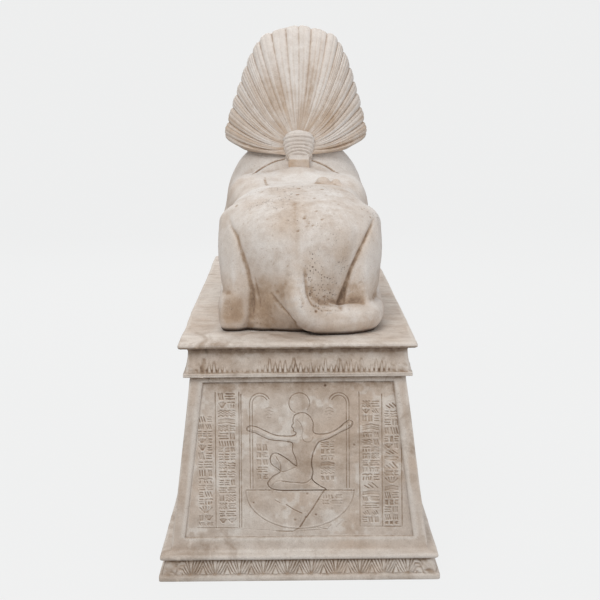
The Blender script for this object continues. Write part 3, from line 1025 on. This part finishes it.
def cornice_relief(u, t, wear):
    """Close-set worn buds with dark eyes between them, thin stems, and a taller open flower now and then; t 0 at the fillet, 1 at the slab."""
    pitch = 10.6
    n = np.floor(u / pitch)
    rnd = np.abs(np.sin(n * 127.1 + 11.7) * 437.5) % 1.0
    x = u - (n + 0.5) * pitch - (rnd - 0.5) * 2.2
    half = 3.8 * np.clip(1 - t / (0.26 + 0.40 * rnd), 0, 1) ** 0.8
    bud = np.clip((half - np.abs(x)) / 1.3, 0, 1)
    rim = np.exp(-((np.abs(x) - half - 0.6) / 0.9) ** 2) * (half > 0.2)
    gap = pitch / 2 - np.abs(u - (n + 0.5) * pitch)
    eye = np.exp(-(gap / 1.8) ** 2 - ((t - 0.085) / 0.05) ** 2) * (0.35 + 0.65 * rnd)
    stem = np.exp(-((x - 0.8 * np.sin(t * 5 + n)) / 0.8) ** 2) * np.clip((0.66 - t) / 0.2, 0, 1) * np.clip((t - 0.2) / 0.1, 0, 1) * (rnd > 0.35)
    big = 47.0
    xb = np.abs(((u / big + 0.31) % 1.0 - 0.5) * big)
    flare = 2.2 + 8.0 * np.clip(1 - t / 0.6, 0, 1) ** 1.1
    cut = np.zeros(len(u))
    for k in (0.0, 0.36, 0.70, 1.0):
        cut = np.maximum(cut, np.exp(-((xb - flare * k) / 0.9) ** 2))
    cut = cut * np.clip((0.70 - t) / 0.1, 0, 1) * (xb < 12) * (np.sin(np.floor(u / big + 0.31) * 9.7 + 1) > -0.55)
    h = 1.7 * bud - 1.0 * rim - 0.8 * stem - 2.6 * eye - 1.2 * cut
    return h * wear, (0.45 * rim + 0.40 * stem + 0.5 * cut) * wear + 1.3 * eye * np.clip(wear + 0.3, 0, 1)


def build_block():
    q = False
    # levels up the side: [half-width, height, band, position in band]
    lev = []
    def run(w0, z0, w1, z1, n, band="", ends=False):
        for i in range(n + (1 if ends else 0)):
            t = i / n
            lev.append((w0 + (w1 - w0) * t, z0 + (z1 - z0) * t, band, t))
    run(296.6, 0.0, BASE_W, 1.2, 1)
    run(BASE_W, 1.2, BASE_W, 9.3, 3)
    run(BASE_W, 9.3, 296, 10.6, 1)
    run(296, 10.6, 291.5, 12, 1)
    run(290.5, 12, 283.5, 43.5, 24, "leaf")
    for a in np.linspace(-0.5, 0.5, 8)[:-1] * math.pi:          # round moulding above the leaves
        lev.append((289 + 5.4 * math.cos(a), 50.5 + 5.6 * math.sin(a), "ledge", 0))
    lev.append((284, 56.6, "ledge", 0))
    lev.append((DIE_FOOT_W + 2.2, 57.6, "ledge", 0))
    lev.append((DIE_FOOT_W + 0.6, DIE_FOOT_Z, "die", 0))
    vs = np.concatenate([spans([(1.5, PANEL_FOOT - 1.2, 7), (PANEL_FOOT - 1.2, PANEL_FOOT + 2.4, 4), (PANEL_FOOT + 2.4, SLOPE_H - PANEL_HEAD - 2.4, 9),
                                (SLOPE_H - PANEL_HEAD - 2.4, SLOPE_H - PANEL_HEAD + 1.2, 4), (SLOPE_H - PANEL_HEAD + 1.2, SLOPE_H - 1, 4)])])
    for v in vs:
        lev.append((DIE_FOOT_W - v * math.sin(BATTER), DIE_FOOT_Z + v * math.cos(BATTER), "die", v))
    run(DIE_TOP_W, DIE_TOP_Z, 239.6, DIE_TOP_Z + 0.1, 2)
    lev.append((240.5, 429.4, "", 0))
    lev += [(240.5, 431.2, "", 0), (240.5, 432.6, "", 0), (239.6, 433.3, "", 0), (240.4, 434.0, "", 0)]
    lev.append((240.5, 435.6, "", 0))
    lev.append((239.6, 436.6, "", 0))
    lev.append((236.4, 437.6, "", 0))
    for i in range(21):                                         # hollow moulding with stems
        t = i / 20
        w = np.interp(438.5 + 45.5 * t, [438.5, 450, 460, 470, 484], [236.0, 234.6, 232.8, 231.2, 230.4])
        lev.append((w, 438.5 + 45.5 * t, "corn", t))
    lev.append((232.5, 488.4, "", 0))
    lev.append((239, 490.8, "", 0))
    lev.append((245.5, 492.0, "nose", 0))
    for a in np.linspace(-0.45, 0.5, 7) * math.pi:
        lev.append((244.7 + 5.6 * math.cos(a), 498.1 + 5.9 * math.sin(a), "nose", 0))
    for k in (2.5, 6, 11, 17, 24, 33, 44, 58, 75, 95, 120):
        lev.append((244.5 - k, PLINTH_H - 0.15, "top", k))
    levels = lev
    # columns along each side: close set near the corners and panel edges, even between
    edge = np.array([0, 0.9, 2.2, 4.5, 8, 12, 17, 22, 26.6, 27.8, 29.2, 31, 35, 41.0])
    counts = (170, 130, 90, 130) if q else (430, 220, 200, 220)
    cols = []                                                    # (side, kind, value): distance from an end, or fraction
    for side, n in enumerate(counts):
        cols += [(side, 0, d) for d in edge[:-1]] + [(side, 1, f) for f in np.linspace(-1, 1, n)] + [(side, 2, d) for d in edge[:0:-1]]
    sides = np.array([c[0] for c in cols])
    kinds = np.array([c[1] for c in cols])
    vals = np.array([c[2] for c in cols], float)
    big, mid, fine = Noise(21, 90), Noise(22, 26), Noise(23, 8)
    chip = Noise(24, 34)
    V, D, L = [], [], []
    ext = np.where(sides % 2 == 1, LEN_EXTRA, 0.0)
    for w, z, band, t in levels:
        half = w + ext
        inner = half - edge[-1]
        u = np.where(kinds == 0, -half + vals, np.where(kinds == 2, half - vals, inner * vals))
        gap = half - np.abs(u)                                   # how far from the corner
        h = np.zeros(len(u))
        dirt = np.zeros(len(u))
        if 483 < z < 498.5:
            dirt = dirt + 2.1 * min(1.0, (499.5 - z) / 5)
        if z < 14:
            dirt = dirt + 0.5
        if 425 < z < 438:
            dirt = dirt + 0.5
        if band == "leaf":
            h, dirt = leaf_relief(u, np.full(len(u), t))
            k = np.clip((gap - 3) / 5, 0, 1)
            h, dirt = h * k, dirt * k + 0.12
        elif band == "corn":
            wear = np.clip(0.92 + 0.65 * mid((u * 0.35 + 900, sides * 70.0, t * 8 + np.zeros(len(u)))), 0.35, 1.15)
            wear = wear * (1 - 0.5 * (sides == 0) * np.exp(-((u - 118) / 46) ** 4))
            h, dirt = cornice_relief(u, np.full(len(u), t), wear)
            k = np.clip((gap - 3) / 5, 0, 1)
            h, dirt = h * k, dirt * k + 0.16
            blot = mid((u * 1.1 + 400, sides * 50.0 + 3, t * 30 + np.zeros(len(u)))) + 0.5 * fine((u + 400, sides * 50.0 + 3, t * 40 + np.zeros(len(u))))
            dirt = dirt + 0.35 * np.clip((t - 0.5) / 0.3, 0, 1) * np.clip(0.4 + 1.2 * blot, 0, 1.2) + 0.28 * np.clip((t - 0.84) / 0.16, 0, 1)
        elif band == "die":
            vin = min(t - PANEL_FOOT, SLOPE_H - PANEL_HEAD - t)
            d = np.minimum(gap - PANEL_SIDE, vin)
            k = np.clip(d / 2.2 + 0.5, 0, 1)
            h = -(PANEL_DEEP + 4) * k * k * (3 - 2 * k)
            dirt = np.exp(-(np.clip(d, -8, 9) / 2.4) ** 2) * 0.45 + 0.55 * np.exp(-((SLOPE_H - t) / 7.0) ** 2) + 0 * u
        x, y = [], []
        px, py = np.where(sides == 0, u, np.where(sides == 1, w, np.where(sides == 2, -u, -w))), np.where(sides == 0, w + LEN_EXTRA, np.where(sides == 1, -u, np.where(sides == 2, -(w + LEN_EXTRA), u)))
        pp = (px + 2000, py + 2000, np.full(len(u), z + 500.0))
        wob = 0.9 * big(pp) + 0.45 * mid(pp) + 0.25 * fine(pp)
        if band == "top":
            z2 = z + np.minimum(0, 0.8 * mid(pp) - 0.2) * np.clip(t / 10, 0, 1)
            wob = wob * 0
        elif band == "nose":
            wob = wob * 1.2 - 0.3
            z2 = z + 0.7 * big(pp) - 0.5 - 0.4 * np.abs(fine(pp))
        else:
            z2 = np.full(len(u), z)
            if z < 0.5:
                wob = wob * 0.5
        # worn and chipped corners
        near = np.exp(-(gap / 3.2) ** 2)
        bite = near * (0.4 + 1.7 * np.clip(chip(pp) * 1.6, 0, 1))
        out = h + wob - bite - 0.3
        dirt = dirt - 0.25 * near
        # tangential draw-in at the corners, the same on both sides
        ul = np.sign(u) * np.minimum(np.abs(u) + (wob - bite - 0.3) * near, BASE_W - 0.1 + ext)
        ww = np.minimum(w + out, BASE_W - 0.1)
        X = np.where(sides == 0, ul, np.where(sides == 1, ww, np.where(sides == 2, -ul, -ww)))
        Y = np.where(sides == 0, ww + LEN_EXTRA, np.where(sides == 1, -ul, np.where(sides == 2, -(ww + LEN_EXTRA), ul)))
        V.append(np.stack([X, Y, np.clip(z2, 0, PLINTH_H)], 1))
        D.append(dirt)
        L.append(np.full(len(u), 1.0 if band == "ledge" or (band == "die" and t < 16) else 0.0))
    C = len(cols)
    # the end of one side and the start of the next share a place: drop one and weld by index
    keep = np.ones(C, bool)
    owner = np.arange(C)
    # order of sides round the block as seen from above, with their corner columns
    V = np.array(V)
    D = np.array(D)
    R = len(V)
    # sides run 0 -> 3 -> 2 -> 1 with each side from u=-half to u=+half meeting the next
    order = []
    for side in (0, 1, 2, 3):
        idx = np.nonzero(sides == side)[0]
        order.append(idx)
    # corner between u=+half of side a and u=-half of side b
    loop = []
    for idx in order:
        loop += list(idx[:-1])
    for a in range(4):
        b = (a + 1) % 4
        ia, ib = order[a][-1], order[b][0]
        m = (V[:, ia] + V[:, ib]) / 2
        V[:, ib] = m
        D[:, ib] = (D[:, ia] + D[:, ib]) / 2
    loop = np.array(loop)
    V, D, L = V[:, loop], D[:, loop], np.array(L)[:, loop]
    C = len(loop)
    verts = V.reshape(-1, 3)
    dirt = D.reshape(-1)
    a = np.arange(C)
    b = (a + 1) % C
    quads = np.concatenate([np.stack([r * C + a, r * C + b, (r + 1) * C + b, (r + 1) * C + a], 1) for r in range(R - 1)])
    tris = tri_quads(quads)
    verts = np.vstack([verts, [0, 0, 0], [0, 0, PLINTH_H - 0.15]])
    dirt = np.append(dirt, [0, 0])
    light = np.append(L.reshape(-1), [0, 0])
    lo, hi = len(verts) - 2, len(verts) - 1
    tris = np.concatenate([tris, np.stack([b, a, np.full(C, lo)], 1), np.stack([(R - 1) * C + a, (R - 1) * C + b, np.full(C, hi)], 1)])
    v0, v1, v2 = verts[tris[:, 0]], verts[tris[:, 1]], verts[tris[:, 2]]
    if np.einsum("ij,ij->i", v0, np.cross(v1, v2)).sum() < 0:
        tris = tris[:, ::-1]
    return verts, tris, dirt, light


def build_panel(side, sheet, cell):
    """The carved field of one face: a thin closed slab set in its frame."""
    ext = LEN_EXTRA if side % 2 else 0.0
    v0, v1 = PANEL_FOOT - 1.0, SLOPE_H - PANEL_HEAD + 1.0
    nv = int((v1 - v0) / cell)
    nu = int(2 * (DIE_FOOT_W + ext - PANEL_SIDE) / cell)
    s, v = np.meshgrid(np.linspace(-1, 1, nu + 1), np.linspace(v0, v1, nv + 1), indexing="ij")
    half = DIE_FOOT_W + ext - v * math.sin(BATTER) - PANEL_SIDE + 1.0
    u = s * half
    # u here is the face's own across, positive towards the viewer's left on the rear face
    h = sheet.read(u, v)
    ink = sheet.read(u, v, sheet.ink)
    big, mid, fine = Noise(31 + side, 70), Noise(41 + side, 18), Noise(51 + side, 6)
    pp = (u + 900, v + 900, np.full(u.shape, 300.0 + 60 * side))
    h = h + 0.5 * big(pp) + 0.35 * mid(pp) + 0.18 * fine(pp)
    base = -PANEL_DEEP
    edge = np.minimum(half - np.abs(u), np.minimum(v - v0, v1 - v))
    lip = np.clip(1 - edge / 3.0, 0, 1)
    n = base + h * (1 - lip) - 0.6 * lip
    blot = np.clip(1.3 * mid(pp) + 0.5 * fine(pp) - 0.15, 0, 1)
    dirt = ink + 0.35 * np.exp(-(edge / 4.0) ** 2) + 1.1 * np.exp(-((v1 - v) / 28.0) ** 2) + 0.45 * blot + (0.9 * np.exp(-((half + u) / 2.6) ** 2) if side == 0 else 0)

    def at(n, v, u):
        w = DIE_FOOT_W - v * math.sin(BATTER) + n * math.cos(BATTER)
        z = DIE_FOOT_Z + v * math.cos(BATTER) + n * math.sin(BATTER)
        x, y = side_xy(side, u, w)
        return np.stack(np.broadcast_arrays(x, y, z), -1)
    front = at(n, v, u)
    back = at(np.full(v.shape, base - 5.5), v, u)
    N = front[..., 0].size
    idx = np.arange(N).reshape(nu + 1, nv + 1)
    A, B, C, D = idx[:-1, :-1].ravel(), idx[1:, :-1].ravel(), idx[1:, 1:].ravel(), idx[:-1, 1:].ravel()
    quads = [np.stack([A, B, C, D], 1)]
    # back as a coarse sheet is not needed finely: reuse only its rim
    rim = np.concatenate([idx[:-1, 0], idx[-1, :-1], idx[:0:-1, -1], idx[0, :0:-1]])
    K = len(rim)
    verts = np.vstack([front.reshape(-1, 3), back.reshape(-1, 3)[rim], back.reshape(-1, 3).mean(0)])
    r0, r1 = np.arange(K), (np.arange(K) + 1) % K
    wall = np.stack([rim[r1], rim[r0], N + r0, N + r1], 1)
    tris = np.concatenate([tri_quads(quads[0]), tri_quads(wall), np.stack([N + r1, N + r0, np.full(K, N + K)], 1)])
    c = verts.mean(0)
    v0_, v1_, v2_ = verts[tris[:, 0]] - c, verts[tris[:, 1]] - c, verts[tris[:, 2]] - c
    if np.einsum("ij,ij->i", v0_, np.cross(v1_, v2_)).sum() < 0:
        tris = tris[:, ::-1]
    return verts, tris, np.concatenate([dirt.ravel(), np.full(K + 1, 0.5)])


# ------------------------------------------------------------------ stone
def lin(r, g, b):
    f = lambda c: c / 12.92 if c <= 0.04045 else ((c + 0.055) / 1.055) ** 2.4
    return (f(r / 255), f(g / 255), f(b / 255), 1.0)


class Tree:
    def __init__(self, name):
        self.mat = bpy.data.materials.new(name)
        self.mat.use_nodes = True
        self.t = self.mat.node_tree
        self.t.nodes.clear()

    def put(self, sock, val):
        if isinstance(val, bpy.types.NodeSocket):
            self.t.links.new(val, sock)
        elif val is not None:
            sock.default_value = val

    def node(self, kind, out=0, ins=None, **props):
        n = self.t.nodes.new(kind)
        for k, v in props.items():
            setattr(n, k, v)
        for k, v in (ins or {}).items():
            self.put(n.inputs[k], v)
        return n.outputs[out]

    def math(self, op, a, b=None, c=None, clamp=False):
        return self.node("ShaderNodeMath", 0, {i: v for i, v in enumerate((a, b, c)) if v is not None}, operation=op, use_clamp=clamp)

    def mix(self, f, a, b, mode="MIX"):
        n = self.t.nodes.new("ShaderNodeMix")
        n.data_type, n.blend_type, n.clamp_factor = "RGBA", mode, True
        self.put(n.inputs[0], f)
        self.put(n.inputs[6], a)
        self.put(n.inputs[7], b)
        return n.outputs[2]

    def ramp(self, f, a, b, lo=0.0, hi=1.0):
        return self.node("ShaderNodeMapRange", 0, {0: f, 1: a, 2: b, 3: lo, 4: hi}, clamp=True, interpolation_type="SMOOTHSTEP")

    def noise(self, at, scale, detail=4.0, rough=0.55, warp=0.0):
        return self.node("ShaderNodeTexNoise", 0, {"Vector": at, "Scale": scale, "Detail": detail, "Roughness": rough, "Distortion": warp})

    def attr(self, name):
        return self.node("ShaderNodeAttribute", 2, attribute_name=name, attribute_type="GEOMETRY")


def stone(name, pale, body, warm, ochre, brown, dark, chalk=0.5, stain=0.5, streaks=0.0, pits=1.0):
    t = Tree(name)
    at = t.node("ShaderNodeTexCoord", 3)
    shifted = lambda x, y, z: t.node("ShaderNodeVectorMath", 0, {0: at, 1: (x, y, z)}, operation="ADD")
    normal_z = t.node("ShaderNodeSeparateXYZ", 2, {0: t.node("ShaderNodeNewGeometry", 1)})
    hollow_, worn, dirt, foot = t.attr("hollow"), t.attr("worn"), t.attr("dirt"), t.attr("foot")
    tan, pitty = t.attr("tan"), t.attr("pitty")

    patches = t.noise(at, 3.2, 5, 0.6, 0.6)
    clouds = t.noise(shifted(3, 1, 7), 9.0, 5, 0.62, 0.3)
    mottle = t.noise(shifted(9, 4, 2), 34.0, 4, 0.6)
    grain = t.noise(shifted(5, 8, 1), 420.0, 3, 0.7)
    speck = t.noise(shifted(2, 2, 9), 150.0, 2, 0.5)

    # body colour: warm patches over the stone's own grey-beige, then fine mottling
    col = t.mix(t.ramp(patches, 0.38, 0.66), body, warm)
    col = t.mix(t.ramp(clouds, 0.45, 0.72, 0, 0.55), col, pale)
    col = t.mix(t.ramp(mottle, 0.38, 0.72, 0, 0.36), col, brown)
    # chalky bloom where rain falls: upward faces and worn crests
    up = t.ramp(normal_z, 0.05, 0.95)
    bloom = t.math("MULTIPLY", up, t.ramp(clouds, 0.30, 0.62))
    bloom = t.math("MAXIMUM", t.math("MULTIPLY", bloom, chalk), t.math("MULTIPLY", t.ramp(worn, 0.15, 0.9), 0.55), clamp=True)
    col = t.mix(bloom, col, pale)
    # broad stains
    big = t.math("MULTIPLY", t.ramp(t.noise(shifted(7, 7, 3), 5.5, 6, 0.68, 1.2), 0.50, 0.74), stain)
    col = t.mix(big, col, brown)
    if streaks:
        run = t.node("ShaderNodeVectorMath", 0, {0: at, 1: (1.0, 1.0, 0.09)}, operation="MULTIPLY")
        s = t.math("MULTIPLY", t.ramp(t.noise(run, 26.0, 3, 0.6), 0.52, 0.78), streaks)
        col = t.mix(t.math("MULTIPLY", s, t.ramp(t.noise(shifted(1, 5, 5), 4.0, 2), 0.42, 0.60)), col, brown)
        across = t.node("ShaderNodeVectorMath", 0, {0: at, 1: (0.07, 1.0, 1.0)}, operation="MULTIPLY")
        s = t.math("MULTIPLY", t.ramp(t.noise(across, 62.0, 6, 0.7, 0.3), 0.46, 0.80, 0, 0.42), t.ramp(normal_z, 0.8, 0.97))
        col = t.mix(s, col, brown)
    # warm tan where water has run, broken up by the clouds
    col = t.mix(t.math("MULTIPLY", tan, t.ramp(t.noise(shifted(2, 6, 6), 24.0, 5, 0.65, 0.4), 0.25, 0.70, 0.35, 0.95)), col, ochre)
    # settled dirt: hollows, cut lines, joints
    broken = t.ramp(t.noise(shifted(4, 3, 3), 60.0, 4, 0.65), 0.22, 0.72, 0.45, 1.25)
    h = t.math("MULTIPLY", t.math("ADD", t.math("MULTIPLY", hollow_, 0.75), t.math("MULTIPLY", dirt, 0.62)), broken)
    col = t.mix(t.ramp(h, 0.10, 1.05, 0, 0.88), col, brown)
    col = t.mix(t.ramp(h, 0.85, 1.7, 0, 0.65), col, dark)
    col = t.mix(t.math("MULTIPLY", t.ramp(foot, 0.05, 0.9), 0.96), col, lin(52, 39, 30))
    # open pits left by trapped air, in three sizes, thicker in some places
    where = t.ramp(t.noise(shifted(6, 1, 4), 6.5, 3), 0.42, 0.64)
    pit = None
    for scale, size, off, some in ((85.0, 0.20, 11, 0.84), (160.0, 0.36, 23, 0.62), (300.0, 0.42, 37, 0.48)):
        v = t.t.nodes.new("ShaderNodeTexVoronoi")
        v.feature, v.distance = "F1", "EUCLIDEAN"
        t.put(v.inputs["Vector"], t.node("ShaderNodeVectorMath", 0, {0: shifted(off, off * 0.7, off * 0.3), 1: t.node("ShaderNodeVectorMath", 0, {0: t.node("ShaderNodeTexNoise", 1, {"Vector": at, "Scale": scale * 1.3, "Detail": 2.0}), "Scale": 0.25 / scale}, operation="SCALE")}, operation="ADD"))
        v.inputs["Scale"].default_value = scale
        pick = t.node("ShaderNodeSeparateColor", 0, {0: v.outputs["Color"]})
        rad = t.math("MULTIPLY", t.ramp(pick, some, 1.0, 0.0, size), t.math("ADD", t.math("MULTIPLY", where, 0.75), 0.25))
        hole = t.ramp(t.math("SUBTRACT", v.outputs["Distance"], rad), -0.10, 0.03, 1, 0)
        hole = t.math("MULTIPLY", hole, t.ramp(pick, some, some + 0.03))
        pit = hole if pit is None else t.math("MAXIMUM", pit, hole)
    pit = t.math("MULTIPLY", pit, t.math("MULTIPLY", pitty, pits), clamp=True)
    col = t.mix(t.math("MULTIPLY", pit, 0.72), col, dark)
    # grain in the colour
    col = t.mix(t.ramp(grain, 0.35, 0.70, 0, 0.16), col, dark)
    col = t.mix(t.ramp(speck, 0.62, 0.74, 0, 0.28), col, brown)

    rough = t.ramp(t.math("ADD", clouds, t.math("MULTIPLY", grain, 0.3)), 0.4, 1.0, 0.78, 0.97)
    height = t.math("ADD", t.math("MULTIPLY", grain, 0.00035), t.math("MULTIPLY", t.noise(shifted(8, 2, 6), 110.0, 4, 0.6), 0.0011))
    height = t.math("ADD", height, t.math("MULTIPLY", mottle, 0.0016))
    height = t.math("SUBTRACT", height, t.math("MULTIPLY", pit, 0.0022))
    bump = t.node("ShaderNodeBump", 0, {"Height": height, "Strength": 0.85, "Distance": 1.0})
    bsdf = t.node("ShaderNodeBsdfPrincipled", 0, {"Base Color": col, "Roughness": rough, "Normal": bump, "Specular IOR Level": 0.22})
    t.t.links.new(bsdf, t.t.nodes.new("ShaderNodeOutputMaterial").inputs["Surface"])
    return t.mat


FIGURE_STONE = stone("figure_stone_aged", lin(231, 227, 223), lin(214, 203, 193), lin(208, 193, 180), lin(190, 164, 138), lin(164, 140, 118), lin(92, 70, 54), chalk=0.72, stain=0.25, pits=1.2)
PLINTH_STONE = stone("plinth_stone_aged", lin(225, 218, 210), lin(204, 192, 181), lin(200, 182, 166), lin(182, 158, 135), lin(150, 128, 108), lin(90, 68, 52), chalk=0.65, stain=0.75, streaks=0.35, pits=0.8)


def finish_piece(ob, node, mat):
    ob.data.materials.clear()
    ob.data.materials.append(mat)
    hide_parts(node)
    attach(ob, "root")
    return ob


# ------------------------------------------------------------------ put together
body = finish_piece(build_body(), "sphinx_figure", FIGURE_STONE)
head = finish_piece(build_head(), "sphinx_figure", FIGURE_STONE)

bv, bt, bd, bl = build_block()
block = finish_piece(stone_piece("plinth_block", bv / 1000, bt, bd, pitty=0.15, most=192000, bloom=0.12 * bl, clean=0.85 * bl), "plinth", PLINTH_STONE)
SHEETS = (rear_sheet(), side_sheet(100), front_sheet(), side_sheet(200))
for side, (sheet, cell, name) in enumerate(zip(SHEETS, (1.12, 3.3, 1.9, 3.3), ("relief_rear", "relief_left", "relief_front", "relief_right"))):
    pv, pt, pd = build_panel(side, sheet, cell * (1))
    where = tuple((pv.T + 1500).astype(F))
    lime = np.clip(1.1 * Noise(61, 34)(where) + 0.9 * Noise(62, 9)(where) - 0.10, 0, 1) ** 1.2
    finish_piece(stone_piece(name, pv / 1000, pt, pd, pitty=0.15, most=186000 if side == 0 else 72000, bloom=1.15 * lime), "plinth", PLINTH_STONE)

# ------------------------------------------------------------------ studio
prof = [(0.001, 0), (7.0, 0)] + [(7 + 2.2 * math.sin(a), 2.2 - 2.2 * math.cos(a)) for a in np.linspace(0, math.pi / 2, 14)[1:]] + [(9.2, 9.0)]
N = 96
sv = np.array([(r * math.cos(2 * math.pi * i / N), r * math.sin(2 * math.pi * i / N), z - 0.0005) for r, z in prof for i in range(N)])
sq = np.array([(k * N + i, k * N + (i + 1) % N, (k + 1) * N + (i + 1) % N, (k + 1) * N + i) for k in range(len(prof) - 1) for i in range(N)])
stage = make("studio_floor", sv, sq)
ft = Tree("studio_white")
dif = ft.node("ShaderNodeBsdfDiffuse", 0, {"Color": (0.86, 0.865, 0.865, 1)})
emi = ft.node("ShaderNodeEmission", 0, {"Color": (0.868, 0.872, 0.872, 1), "Strength": 1.0})
ms = ft.t.nodes.new("ShaderNodeMixShader")
ms.inputs[0].default_value = 0.96
ft.t.links.new(dif, ms.inputs[1])
ft.t.links.new(emi, ms.inputs[2])
ft.t.links.new(ms.outputs[0], ft.t.nodes.new("ShaderNodeOutputMaterial").inputs["Surface"])
stage.data.materials.append(ft.mat)
stage.visible_diffuse = False
stage.visible_glossy = False
stage.visible_shadow = False

world = bpy.data.worlds.new("studio")
bpy.context.scene.world = world
world.use_nodes = True
bg = world.node_tree.nodes["Background"]
bg.inputs["Color"].default_value = (0.97, 0.985, 1.0, 1)
bg.inputs["Strength"].default_value = 0.52


def softbox(name, at, look, size, watts, color=(1, 1, 1)):
    d = bpy.data.lights.new(name, "AREA")
    d.shape, d.size, d.energy, d.color = "DISK", size, watts, color
    o = bpy.data.objects.new(name, d)
    o.location = at
    o.rotation_euler = (Vector(look) - Vector(at)).to_track_quat("-Z", "Y").to_euler()
    bpy.context.scene.collection.objects.link(o)


softbox("key", (1.5, 3.2, 3.6), (0, 0, 0.7), 2.4, 78, (1.0, 0.985, 0.96))
softbox("fill", (-3.0, 2.6, 1.8), (0, 0, 0.6), 2.8, 36, (0.97, 0.98, 1.0))
softbox("top", (0.0, -0.6, 4.2), (0, 0, 0.8), 2.6, 36)
softbox("front", (0.6, -3.6, 2.6), (0, 0, 0.8), 2.6, 50)

cam = bpy.data.cameras.new("view")
cam.lens, cam.sensor_width, cam.sensor_fit = 66.0, 36.0, "HORIZONTAL"
cam.clip_start, cam.clip_end = 0.05, 60
camera = bpy.data.objects.new("view", cam)
th, psi, rho = 0.1934, 0.0079, 0.0062
fwd = Vector((-math.sin(psi) * math.cos(th), -math.cos(psi) * math.cos(th), -math.sin(th)))
rgt = Vector((-math.cos(psi), math.sin(psi), 0))
upv = rgt.cross(fwd)
rc, uc = math.cos(rho) * rgt - math.sin(rho) * upv, math.cos(rho) * upv + math.sin(rho) * rgt
camera.matrix_world = Matrix(((rc[0], uc[0], -fwd[0], 0.0127), (rc[1], uc[1], -fwd[1], 2.8135), (rc[2], uc[2], -fwd[2], 1.0285), (0, 0, 0, 1)))
bpy.context.scene.collection.objects.link(camera)
bpy.context.scene.camera = camera
bpy.context.scene.view_settings.view_transform = "Standard"
